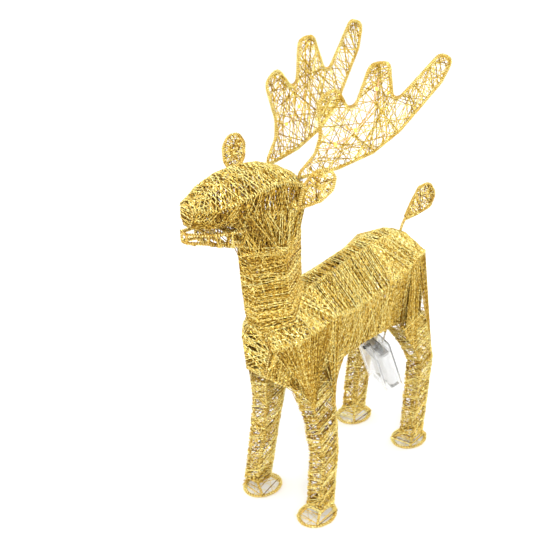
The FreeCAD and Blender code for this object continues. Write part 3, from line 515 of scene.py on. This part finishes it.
def wrap(cord, line, wire, pitch=WRAP_PITCH, radius=WRAP_CORD, depth=0.75):
    """Cord wound in a close helix on a wire."""
    along_line = sampled(line, pitch / WRAP_STEPS)
    side = Vector((0.2, 0.5, 0.84))
    turns = []
    angle = chance.uniform(0, 2 * math.pi)
    for point, following in zip(along_line, along_line[1:]):
        stretch = following - point
        along = stretch.normalized()
        side = side - along * side.dot(along)
        if side.length < 0.05:
            side = along.orthogonal()
        side.normalize()
        over = along.cross(side)
        distance = wire + radius * chance.uniform(0.55, 0.95)
        turns.append(point + (side * math.cos(angle) + over * math.sin(angle)) * distance)
        angle += 2 * math.pi * stretch.length / pitch
    # the depth sets only how much painted shade the wrap gets; the wrap itself lies right on the wire
    for start in range(0, len(turns) - 1, WRAP_STRETCH):
        cord.run(turns[start:start + WRAP_STRETCH + 1], radius=radius, step=1, depth=depth)


# ---------------------------------------------------------------- cages of wire

class Cage:
    """The wires of one column, and where cord goes over them at any length along it."""

    def __init__(self, stations):
        self.stations = stations
        self.corners = len(stations[0])
        middles = [sum(polygon, Vector()) / self.corners for polygon in stations]
        self.at = [0.0]
        for start, end in zip(middles, middles[1:]):
            self.at.append(self.at[-1] + (end - start).length)
        self.length = self.at[-1]
        self.outwards = [self.outward_of(polygon) for polygon in stations]

    @staticmethod
    def outward_of(polygon):
        count = len(polygon)
        result = []
        for i, corner in enumerate(polygon):
            before = (polygon[i - 1] - corner).normalized()
            after = (polygon[(i + 1) % count] - corner).normalized()
            result.append(-(before + after).normalized())
        return result

    def over(self, corner, t, lift=0.0):
        """The point where cord crosses a long wire's outside, at the length t along the column."""
        corner %= self.corners
        t = clamped(t, 0, self.length)
        k = 0
        while k < len(self.at) - 2 and self.at[k + 1] < t:
            k += 1
        share = (t - self.at[k]) / (self.at[k + 1] - self.at[k])
        place = self.stations[k][corner].lerp(self.stations[k + 1][corner], share)
        outward = self.outwards[k][corner].lerp(self.outwards[k + 1][corner], share).normalized()
        return place + outward * (WIRE + CORD + lift)

    def wires(self):
        return [rounded([polygon[corner] for polygon in self.stations], WIRE_BEND)
                for corner in range(self.corners)]

    def hoops(self, indices):
        return [rounded(self.stations[index], WIRE_BEND, closed=True) for index in indices]


WIND_STRETCH = 3            # spans of a winding that share one shade
WIND_SPREAD = 0.25          # how far such a shade's depth may be from the winding's


def wind(cord, cage, start, end, pitch, passes, jitter, depths=(0, 1), forwards_share=0.72, radius=CORD):
    """Cord wound round the whole cage in helical passes, there and back."""
    for number in range(passes):
        forwards = chance.random() < forwards_share
        step = chance.uniform(*pitch) / cage.corners
        corner = chance.randrange(cage.corners)
        depth = chance.uniform(*depths)
        lift = depth * LAYER
        t = start - chance.uniform(0, step * cage.corners)
        line = []
        while t < end:
            if t > start - step:
                place = clamped(t + chance.uniform(-jitter, jitter), start, end)
                line.append(cage.over(corner, place, lift))
            corner += 1 if forwards else -1
            t += step * chance.uniform(0.6, 1.4)
        for first in range(0, len(line) - 1, WIND_STRETCH):
            # each span's painted shade follows the winding's depth, shifted at random in tone
            shade = clamped(depth + chance.uniform(-WIND_SPREAD, WIND_SPREAD), 0, 1)
            cord.run(line[first:first + WIND_STRETCH + 1], radius=radius, depth=shade)


def lace(cord, cage, corners, start, end, spacing, slant, jitter=0.001, depths=(0, 1), even=0.5, radius=CORD):
    """Cord run across between two neighbouring long wires, again and again."""
    first, second = corners
    t = start
    while t < end:
        lean = chance.uniform(*slant)
        near = clamped(t - lean / 2 + chance.uniform(-jitter, jitter), start, end)
        far = clamped(t + lean / 2 + chance.uniform(-jitter, jitter), start, end)
        depth = chance.uniform(*depths)
        lift = depth * LAYER
        cord.run([cage.over(first, near, lift), cage.over(second, far, lift)], radius=radius, depth=depth)
        t += spacing * chance.uniform(1 - even, 1 + even)


TANGLE_SHORTEST = 0.003     # a tangle leaves out cords shorter than this


def tangle(cord, cage, corners, start, end, count, longest=0.022, depths=(0.3, 1), radius=CORD):
    """Short stretches of cord caught at odd angles over the span between two neighbouring long wires."""
    first, second = corners
    for number in range(count):
        depth = chance.uniform(*depths)
        lift = depth * LAYER
        t = chance.uniform(start, end)
        share = chance.random()
        width = (cage.over(first, t) - cage.over(second, t)).length
        angle = chance.uniform(0, math.tau)
        reach = longest * chance.uniform(0.4, 1)
        other_t = clamped(t + reach * math.cos(angle), start, end)
        other_share = clamped(share + reach * math.sin(angle) / width, 0, 1)
        near = cage.over(first, t, lift).lerp(cage.over(second, t, lift), share)
        far = cage.over(first, other_t, lift).lerp(cage.over(second, other_t, lift), other_share)
        if (far - near).length > TANGLE_SHORTEST:
            cord.run([near, far], radius=radius, depth=depth)


def cap(cord, polygon, outward, spacing, slant=0.15, depths=(0, 1)):
    """Cord across the end of a cage, between its left and right wires."""
    half = len(polygon) // 2
    left = sampled(polygon[:half], 0.0005)
    right = sampled(list(reversed(polygon[half:])), 0.0005)
    share = 0.0
    height = max(0.01, sum((b - a).length for a, b in zip(left, left[1:])))
    while share <= 1:
        depth = chance.uniform(*depths)
        offset = outward * (WIRE + depth * LAYER)
        other = clamped(share + chance.uniform(-slant, slant), 0, 1)
        start = left[round(share * (len(left) - 1))] + offset
        end = right[round(other * (len(right) - 1))] + offset
        cord.run([start, end], depth=depth)
        share += spacing / height * chance.uniform(0.5, 1.5)


def band(cord, cage, corners, depth=1.0):
    """Cord wound on long wires over the windings, as a bright line along each: it is painted at the light end
    of the painted shade, as the outermost cord.
    """
    lines = cage.wires()
    for corner in corners:
        wrap(cord, lines[corner], WIRE + BAND * LAYER, depth=depth)


def wrap_cage(cord, cage, hoops, depth=0.75):
    for line in cage.wires():
        wrap(cord, line, WIRE, depth=depth)
    for line in cage.hoops(hoops):
        wrap(cord, line, HOOP, depth=depth)


# ---------------------------------------------------------------- trunk, neck, head and jaw

BACKWARDS = Vector((0, 1, 0))
FORWARDS = Vector((0, -1, 0))
DEEP = (0, 0.15)            # depths of a winding's inner cords, which get the darkest painted shade
MIDDLE = (0.15, 0.7)        # depths of the cords over those
OUTSIDE = (0.65, 1)         # depths of the outermost cords
FINE = 0.00052              # radius of thinner cord
THICK = 0.00085             # radius of two cords that run together
SADDLE_START = 0.27         # the neatly laced part of the trunk, as shares of its length
SADDLE_END = 0.66
JAW_CLOSE = 0.40            # where the jaw's closer winding starts, as a share of its length
THROAT_CORDS = 150          # cords on each side of the throat
THROAT_HEIGHT = 0.025       # how far down the neck they reach
RING_POINTS = 72            # points round a foot loop
FOOT_PITCH = 0.0036         # pitch of the cord wound on it
FOOT_STRANDS = 6            # loose strands that lie across it
FOOT_STRAND = 0.0004        # radius of such a strand
CROSSED = 1.8               # short cords caught across each cord of a drape
CROSSED_RISE = 0.35         # how far up or down the drape such a cord may go, as a share
CROSSED_SHORTEST = 0.004    # such cords shorter or longer than these are left out
CROSSED_LONGEST = 0.040


def make_torso():
    cage = Cage(TORSO)
    edges = Cord("torso_edge_cord")
    wrap_cage(edges, cage, range(len(TORSO)), depth=0.95)
    band(edges, cage, (TOP_LEFT, TOP_RIGHT, SIDE_LEFT, SIDE_RIGHT))
    edges.piece()

    shoulder = cage.length * SADDLE_START
    rump = cage.length * SADDLE_END
    saddle = Cord("torso_cord")
    wind(saddle, cage, 0, cage.length, (0.012, 0.03), 3, 0.004)
    for pair in ((TOP_LEFT, SIDE_LEFT), (TOP_RIGHT, SIDE_RIGHT)):
        lace(saddle, cage, pair, 0, cage.length, 0.0019, (-0.008, 0.008), depths=DEEP)
        lace(saddle, cage, pair, 0, shoulder, 0.0018, (-0.030, 0.030), radius=FINE)
        lace(saddle, cage, pair, 0, shoulder, 0.0032, (-0.040, 0.040), depths=OUTSIDE)
        lace(saddle, cage, pair, shoulder, rump, 0.0031, (-0.002, 0.002), jitter=0.0004, depths=OUTSIDE,
             even=0.3)
        lace(saddle, cage, pair, shoulder, rump, 0.0090, (-0.016, 0.016), depths=OUTSIDE)
        lace(saddle, cage, pair, rump, cage.length, 0.0014, (-0.030, 0.030), depths=(0.3, 1), radius=FINE)
        lace(saddle, cage, pair, rump, cage.length, 0.0022, (-0.044, 0.044), depths=OUTSIDE)
        tangle(saddle, cage, pair, 0, shoulder, 260)
        tangle(saddle, cage, pair, rump, cage.length, 420)
        tangle(saddle, cage, pair, shoulder, rump, 60, radius=FINE)
    lace(saddle, cage, (TOP_LEFT, TOP_RIGHT), 0, cage.length, 0.0022, (-0.006, 0.006))
    saddle.piece("torso_winding")

    # The flank's cords lie lower in the winding than the saddle's outer cords and so get more painted shade,
    # which also stands for the side lit less from above.
    for side, pair in (("left", (SIDE_LEFT, BELLY_LEFT)), ("right", (SIDE_RIGHT, BELLY_RIGHT))):
        flank = Cord("torso_flank_cord_" + side)
        lace(flank, cage, pair, 0, cage.length, 0.0013, (-0.012, 0.012), depths=DEEP)
        lace(flank, cage, pair, 0, cage.length, 0.0012, (-0.010, 0.010), depths=MIDDLE, radius=FINE)
        lace(flank, cage, pair, 0, cage.length, 0.0026, (-0.040, 0.040), depths=(0.3, 0.9), radius=FINE)
        tangle(flank, cage, pair, 0, cage.length, 750, depths=MIDDLE, radius=FINE)
        flank.piece()
    under = Cord("torso_end_cord")
    lace(under, cage, (BELLY_LEFT, BELLY_RIGHT), 0, cage.length, 0.0020, (-0.012, 0.012))
    cap(under, TORSO[0], FORWARDS, 0.0022)
    for layer in range(2):
        cap(under, TORSO[0], FORWARDS, 0.0030, slant=0.5)
    cap(under, TORSO[-1], BACKWARDS, 0.0013)
    cap(under, TORSO[-1], BACKWARDS, 0.0022, slant=0.4, depths=OUTSIDE)
    under.piece()
    return cage


def make_neck():
    cage = Cage(NECK)
    edges = Cord("neck_edge_cord")
    wrap_cage(edges, cage, range(4), depth=0.6)
    edges.piece()
    cord = Cord("neck_cord")
    wind(cord, cage, 0, cage.length, (0.008, 0.012), 8, 0.003, depths=DEEP)
    wind(cord, cage, 0, cage.length, (0.010, 0.020), 13, 0.004, depths=(0.1, 0.85), radius=FINE)
    wind(cord, cage, 0, cage.length * 0.32, (0.006, 0.010), 4, 0.003, depths=DEEP)
    wind(cord, cage, cage.length * 0.5, cage.length, (0.014, 0.030), 6, 0.006, depths=MIDDLE)
    wind(cord, cage, 0, cage.length, (0.05, 0.10), 7, 0.006, depths=MIDDLE, forwards_share=0.5, radius=FINE)
    for corner in range(cage.corners):
        pair = (corner, corner + 1)
        tangle(cord, cage, pair, 0, cage.length, 110, depths=MIDDLE, radius=FINE)
        lace(cord, cage, pair, 0, cage.length, 0.0060, (-0.012, 0.012), depths=(0.2, 0.9), radius=FINE)
    cord.piece("neck_winding")


def make_head():
    cage = Cage(SKULL)
    edges = Cord("head_edge_cord")
    wrap_cage(edges, cage, range(len(SKULL)), depth=0.9)
    last = cage.corners - 1
    band(edges, cage, (0, 1, last - 1, last))
    edges.piece()
    cord = Cord("head_cord")
    wind(cord, cage, 0, cage.length, (0.009, 0.014), 8, 0.003, depths=DEEP)
    wind(cord, cage, 0, cage.length, (0.040, 0.080), 5, 0.004, depths=MIDDLE, forwards_share=0.5, radius=FINE)
    for corner in range(cage.corners):
        pair = (corner, corner + 1)
        if corner in (0, last - 1, last):
            depths, spacing, radius = OUTSIDE, 0.0046, CORD
        else:
            depths, spacing, radius = MIDDLE, 0.0040, FINE
        for slant in ((0.005, 0.013), (-0.013, -0.005)):
            lace(cord, cage, pair, 0, cage.length, spacing, slant, depths=depths, even=0.6, radius=radius)
        tangle(cord, cage, pair, 0, cage.length, 40, longest=0.014, depths=depths, radius=FINE)
    turn = head.to_3x3()
    cap(cord, SKULL[0], turn @ FORWARDS, 0.0012)
    cap(cord, SKULL[-1], turn @ BACKWARDS, 0.0014)
    cord.piece("head_winding")


def make_jaw():
    cage = Cage(JAW)
    edges = Cord("jaw_edge_cord")
    wrap_cage(edges, cage, range(len(JAW)), depth=0.9)
    edges.piece()
    cord = Cord("jaw_cord")
    throat = cage.length * JAW_CLOSE
    wind(cord, cage, 0, cage.length, (0.030, 0.050), 2, 0.003, depths=MIDDLE, radius=FINE)
    wind(cord, cage, throat, cage.length, (0.014, 0.022), 9, 0.003)
    turn = head.to_3x3()
    cap(cord, JAW[-1], turn @ BACKWARDS, 0.0016)
    cord.piece("jaw_winding")


def make_throat():
    """Cord from the head's lower wires to the top of the neck, over the opening between them."""
    skull = Cage(SKULL)
    neck = Cage(NECK)
    last = len(SKULL[0]) - 1
    cord = Cord("throat_cord")
    for wires, faces in (((2, 3), (0, 1)), ((last - 2, last - 3), (3, 4))):
        for number in range(THROAT_CORDS):
            depth = chance.uniform(0, 0.8)
            wire = chance.choice(wires)
            top = skull.over(wire, chance.uniform(skull.at[2], skull.at[5]), depth * LAYER)
            face = chance.choice(faces)
            height = chance.uniform(0, THROAT_HEIGHT)
            edge = neck.over(face, height, depth * LAYER)
            low = edge.lerp(neck.over(face + 1, height, depth * LAYER), chance.random())
            cord.run([top, low], radius=FINE, depth=depth)
    cord.piece()


# ---------------------------------------------------------------- legs and foot loops

def make_leg(name, polygons):
    stations = placed(deer, polygons)
    cage = Cage(stations)
    wired = Cage(stations[:-1])
    edges = Cord("leg_edge_cord_" + name)
    wrap_cage(edges, wired, range(2, len(stations) - 1), depth=0.85)
    band(edges, wired, (1, 2))
    edges.piece()

    cord = Cord("leg_cord_" + name)
    ankle = cage.at[1]
    wind(cord, cage, ankle, cage.length, (0.050, 0.070), 11, 0.004, depths=(0.05, 0.3), forwards_share=0.6)
    wind(cord, cage, ankle, cage.length, (0.050, 0.065), 20, 0.002, depths=(0.4, 1), forwards_share=0.9,
         radius=FINE)
    for corner in range(cage.corners):
        tangle(cord, cage, (corner, corner + 1), ankle, cage.length, 75, longest=0.016, radius=FINE)
    wind(cord, cage, ankle, cage.length, (0.016, 0.024), 3, 0.002, depths=(0.2, 0.8), radius=FINE)
    wind(cord, cage, ankle, ankle + 0.010, (0.004, 0.006), 3, 0.001)
    wind(cord, cage, 0, ankle + 0.004, (0.010, 0.016), 4, 0.003)
    cord.piece("leg_winding_" + name)

    loop = Cord("foot_cord_" + name)
    low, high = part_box("hoof_loop_" + name)
    middle = (Vector(low) + Vector(high)) / 2
    ring = []
    for i in range(RING_POINTS + 1):
        angle = i * math.tau / RING_POINTS
        across, along = math.sin(angle) * FOOT_WIDTH / 2, math.cos(angle) * FOOT_LENGTH / 2
        ring.append(middle + Vector((across, along, 0)))
    wrap(loop, ring, WIRE, pitch=FOOT_PITCH, radius=THICK, depth=1.0)
    for number in range(FOOT_STRANDS):
        start = chance.randrange(RING_POINTS)
        end = (start + chance.randrange(14, 40)) % RING_POINTS
        lift = UP * (WIRE + chance.uniform(0.0, 0.0008))
        loop.run([ring[start] + lift, ring[end] + lift], radius=FOOT_STRAND, depth=1.0)
    loop.piece()
    return cage


def drape(cord, trunk, wire, reach, leg, corners, height, count):
    """Cord pulled from a trunk wire down to two of a leg's wires, and short cord caught across it."""
    pulled = []
    for number in range(count):
        share = (number + chance.random()) / count
        depth = chance.uniform(0, 0.6)
        top = trunk.over(wire, reach[0] + (reach[1] - reach[0]) * share, depth * LAYER)
        corner = corners[0] if chance.random() > share else corners[1]
        low = leg.over(corner, chance.uniform(*height), depth * LAYER)
        pulled.append((top, low))
        cord.run([top, low], radius=FINE, depth=depth)
    for number in range(round(count * CROSSED)):
        near = chance.randrange(count)
        far = clamped(near + chance.randint(-count // 4, count // 4), 0, count - 1)
        up = chance.random()
        down = clamped(up + chance.uniform(-CROSSED_RISE, CROSSED_RISE), 0, 1)
        start = pulled[near][0].lerp(pulled[near][1], up)
        end = pulled[far][0].lerp(pulled[far][1], down)
        if CROSSED_SHORTEST < (end - start).length < CROSSED_LONGEST:
            cord.run([start, end], radius=FINE, depth=chance.uniform(0.3, 1))


def make_drapes(trunk, cages):
    for name, leg in cages.items():
        cord = Cord("haunch_cord_" + name)
        left = name.endswith("left")
        outer = (0, 1) if left else (3, 2)
        near, rear = outer
        side, belly = (SIDE_LEFT, BELLY_LEFT) if left else (SIDE_RIGHT, BELLY_RIGHT)
        at = trunk.at
        top = leg.at[5] + 0.004
        high = (leg.at[4] - 0.004, top)
        low = (leg.at[4] - 0.014, top)
        if name.startswith("front"):
            drape(cord, trunk, side, (at[1], at[3] + 0.012), leg, outer, low, 150)
            drape(cord, trunk, belly, (at[1], at[4]), leg, outer, high, 70)
            drape(cord, trunk, side, (at[0], at[2]), leg, (near, near), (leg.at[4], top), 60)
        else:
            drape(cord, trunk, side, (at[6] + 0.020, at[9]), leg, outer, low, 150)
            drape(cord, trunk, belly, (at[6] + 0.015, at[9]), leg, outer, high, 70)
            drape(cord, trunk, side, (at[8], at[9]), leg, (rear, rear), (leg.at[5] - 0.010, top), 50)
        cord.piece()


# ---------------------------------------------------------------- flat loops: antlers, ears and tail

THREAD = 0.00058            # radius of a single thread strung across a loop
LOOP_PITCH = 0.0021         # pitch and depth of the cord wound on a loop's wire
LOOP_DEPTH = 0.85
ACROSS_ANTLER = 0.130       # longest cord strung across an antler, a prong of it, and an ear or the tail
ACROSS_PRONG = 0.050
ACROSS_PADDLE = 0.070
STEM = 0.0016               # from a loop's middle line to each end of its wire
ANTLER_BEND = 0.011
ANTLER_OUTLINE = [
    (-STEM, 0.006), (-STEM, 0.012), (0.015, 0.032), (0.018, 0.052), (0.007, 0.095), (0.028, 0.107),
    (0.056, 0.070), (0.068, 0.129), (0.093, 0.129), (0.110, 0.077), (0.163, 0.132), (0.184, 0.124),
    (0.174, 0.098), (0.128, 0.045), (0.096, 0.023), (0.050, 0.010), (STEM, 0.006),
]
ANTLER_FOOT = Vector((0.0245, -0.149, 0.464))
ANTLER_ACROSS = Vector((0.143, 0.990, 0))
ANTLER_ALONG = Vector((0.129, -0.019, 0.991))
ANTLER_SWING = {"left": math.radians(2.0), "right": math.radians(-2.5)}

EAR_OUTLINE = [(-STEM, 0), (-0.012, 0.020), (-0.013, 0.038), (-0.006, 0.051), (0.006, 0.051),
               (0.013, 0.038), (0.012, 0.020), (STEM, 0)]
EAR_BEND = 0.009
EAR_STEM = [Vector((0.029, -0.160, 0.449)), Vector((0.038, -0.168, 0.447)), Vector((0.050, -0.174, 0.449)),
            Vector((0.055, -0.174, 0.453))]
EAR_ALONG = {"left": Vector((24, 22, 44)), "right": Vector((-30, 21, 35))}
EAR_ACROSS = {"left": Vector((-0.72, -0.37, 0.58)), "right": Vector((0.85, 0.5, 0.3))}

TAIL_STEM = [Vector((0, 0.101, 0.314)), Vector((0, 0.105, 0.324)), Vector((0, 0.112, 0.332))]
TAIL_OUTLINE = [(-STEM, 0), (-0.009, 0.020), (-0.016, 0.046), (-0.009, 0.066), (0.008, 0.066), (0.015, 0.046),
                (0.008, 0.020), (STEM, 0)]
TAIL_ALONG = Vector((0, 62, 26))
TAIL_ACROSS = Vector((-30, -20, 60))
TAIL_BEND = 0.012


def flat_line(outline, bend):
    return rounded([Vector((across, 0, along)) for across, along in outline], bend)


def crossing(point, direction, line):
    """How far a ray in the local XZ plane goes from the point before it meets the line again."""
    nearest = None
    for start, end in zip(line, line[1:]):
        edge = end - start
        spread = direction.x * edge.z - direction.z * edge.x
        if abs(spread) < 1e-12:
            continue
        gap = start - point
        distance = (gap.x * edge.z - gap.z * edge.x) / spread
        share = (gap.x * direction.z - gap.z * direction.x) / spread
        if distance > 0.002 and 0 <= share <= 1:
            nearest = distance if nearest is None else min(nearest, distance)
    return nearest


def places_along(line, spacing):
    """Points at uneven distances along a broken line, with the line's direction at each."""
    places = []
    left = spacing * chance.random()
    for start, end in zip(line, line[1:]):
        length = (end - start).length
        while left < length:
            places.append((start.lerp(end, left / length), (end - start) / length))
            left += spacing * chance.uniform(0.5, 1.5)
        left -= length
    return places


def string_across(cord, line, matrix, spacing, spread, longest, radius=CORD, depths=(0.2, 1)):
    """Cord strung across the inside of a flat loop, from wire to wire, at odd angles."""
    closed = line + [line[0]]
    for here, edge in places_along(line, spacing):
        inwards = Vector((edge.z, 0, -edge.x))
        angle = chance.uniform(-spread, spread)
        direction = Matrix.Rotation(angle, 3, "Y") @ inwards
        reach = crossing(here, direction, closed)
        if reach is None or reach > longest:
            continue
        depth = chance.uniform(-1, 1) * WIRE
        start = here + Vector((0, depth, 0))
        end = here + direction * reach + Vector((0, -depth, 0))
        cord.run([matrix @ start, matrix @ end], radius=radius, depth=chance.uniform(*depths))


def make_antler(side, sign):
    across = Vector((sign * ANTLER_ACROSS.x, ANTLER_ACROSS.y, 0))
    along = Vector((sign * ANTLER_ALONG.x, ANTLER_ALONG.y, ANTLER_ALONG.z))
    foot = Vector((sign * ANTLER_FOOT.x, ANTLER_FOOT.y, ANTLER_FOOT.z))
    matrix = head @ local_frame(foot, across, along) @ Matrix.Rotation(ANTLER_SWING[side], 4, "Y")
    line = flat_line(ANTLER_OUTLINE, ANTLER_BEND)
    cord = Cord("antler_cord_" + side, "antler_cord", "antler_" + side)
    string_across(cord, line, matrix, 0.0055, math.radians(55), ACROSS_ANTLER, radius=THREAD, depths=(0, 0.9))
    string_across(cord, line, matrix, 0.0070, math.radians(65), ACROSS_ANTLER, radius=THREAD, depths=(0, 0.9))
    string_across(cord, line, matrix, 0.0220, math.radians(30), ACROSS_PRONG, radius=THREAD)
    string_across(cord, line, matrix, 0.0600, math.radians(45), ACROSS_ANTLER, radius=THICK, depths=(0, 0.6))
    cord.piece("antler_winding_" + side)
    edge = Cord("antler_edge_cord_" + side, "antler_cord", "antler_" + side)
    wrap(edge, [matrix @ point for point in line], WIRE, pitch=LOOP_PITCH, depth=LOOP_DEPTH)
    edge.piece()


def make_paddle(name, outline, bend, stem, matrix, winding, spread):
    line = flat_line(outline, bend)
    cord = Cord(name + "_cord")
    for layer in range(2):
        string_across(cord, line, matrix, 0.0029, spread, ACROSS_PADDLE, radius=THREAD, depths=(0, 1))
    cord.piece(winding)
    edge = Cord(name + "_edge_cord")
    wrap(edge, [matrix @ point for point in line], WIRE, pitch=LOOP_PITCH, depth=LOOP_DEPTH)
    wrap(edge, rounded(stem, 0.006), WIRE, pitch=LOOP_PITCH, depth=LOOP_DEPTH)
    edge.piece()


def make_ear(side, sign):
    stem = [head @ Vector((sign * point.x, point.y, point.z)) for point in EAR_STEM]
    tip = Vector((sign * EAR_STEM[-1].x, EAR_STEM[-1].y, EAR_STEM[-1].z))
    matrix = head @ local_frame(tip, EAR_ACROSS[side], EAR_ALONG[side])
    make_paddle("ear_" + side, EAR_OUTLINE, EAR_BEND, stem, matrix, "ear_%s_winding" % side, math.radians(40))


def make_tail():
    stem = [deer @ point for point in TAIL_STEM]
    matrix = deer @ local_frame(TAIL_STEM[-1], TAIL_ACROSS, TAIL_ALONG)
    make_paddle("tail", TAIL_OUTLINE, TAIL_BEND, stem, matrix, "tail_winding", math.radians(50))


torso_cage = make_torso()
make_neck()
make_head()
make_jaw()
make_throat()
make_drapes(torso_cage, {name: make_leg(name, polygons) for name, polygons in LEGS.items()})
for side_name, side_sign in (("left", 1), ("right", -1)):
    make_antler(side_name, side_sign)
    make_ear(side_name, side_sign)
make_tail()


# ---------------------------------------------------------------- camera, light and floor

CAMERA_AZIMUTH = math.radians(34.0)     # round the deer, from straight ahead of it to its left
CAMERA_DISTANCE = 1.228
CAMERA_HEIGHT = 0.8965
CAMERA_YAW = math.radians(38.6)
CAMERA_PITCH = math.radians(26.6)
CAMERA_ROLL = math.radians(2.1)
CAMERA_LENS = 70.73
FLOOR_SIDE = 18.0
BODY_MIDDLE = (0, 0, 0.3)               # where the lights aim


def make_camera():
    data = bpy.data.cameras.new("camera")
    data.lens = CAMERA_LENS
    data.sensor_width = 36.0
    camera = bpy.data.objects.new("camera", data)
    bpy.context.scene.collection.objects.link(camera)
    place = deer @ Vector((math.sin(CAMERA_AZIMUTH) * CAMERA_DISTANCE,
                           -math.cos(CAMERA_AZIMUTH) * CAMERA_DISTANCE, CAMERA_HEIGHT))
    level = Vector((-math.sin(CAMERA_YAW), math.cos(CAMERA_YAW), 0))
    forward = level * math.cos(CAMERA_PITCH) - UP * math.sin(CAMERA_PITCH)
    right = forward.cross(UP).normalized()
    upward = right.cross(forward)
    rolled_right = right * math.cos(CAMERA_ROLL) + upward * math.sin(CAMERA_ROLL)
    rolled_up = upward * math.cos(CAMERA_ROLL) - right * math.sin(CAMERA_ROLL)
    turn = Matrix((rolled_right, rolled_up, -forward)).transposed().to_4x4()
    camera.matrix_world = Matrix.Translation(place) @ turn
    bpy.context.scene.camera = camera


def make_light(name, place, aim, size, power):
    data = bpy.data.lights.new(name, "AREA")
    data.shape = "SQUARE"
    data.size = size
    data.energy = power
    light = bpy.data.objects.new(name, data)
    bpy.context.scene.collection.objects.link(light)
    place = Vector(place)
    turn = (Vector(aim) - place).to_track_quat("-Z", "Y").to_matrix().to_4x4()
    light.matrix_world = Matrix.Translation(place) @ turn


def make_floor():
    mesh = bpy.data.meshes.new("floor")
    half = FLOOR_SIDE / 2
    mesh.from_pydata([(-half, -half, 0), (half, -half, 0), (half, half, 0), (-half, half, 0)], [],
                     [(0, 1, 2, 3)])
    floor = bpy.data.objects.new("floor", mesh)
    bpy.context.scene.collection.objects.link(floor)
    material, tree, shader = new_material("floor")
    shader.inputs["Base Color"].default_value = (0.95, 0.95, 0.95, 1)
    shader.inputs["Roughness"].default_value = 0.9
    floor.data.materials.append(material)


def make_world():
    world = bpy.data.worlds.new("studio")
    world.use_nodes = True
    background = world.node_tree.nodes["Background"]
    background.inputs["Color"].default_value = (1.0, 1.0, 1.0, 1)
    background.inputs["Strength"].default_value = 1.08
    bpy.context.scene.world = world


make_camera()
make_world()
make_floor()
make_light("key", (1.3, -1.6, 1.9), BODY_MIDDLE, 0.8, 26)
make_light("fill", (-1.6, -1.2, 1.3), BODY_MIDDLE, 1.2, 10)
make_light("back", (0.6, 1.9, 1.6), BODY_MIDDLE, 1.0, 10)
bpy.context.scene.view_settings.view_transform = "Standard"
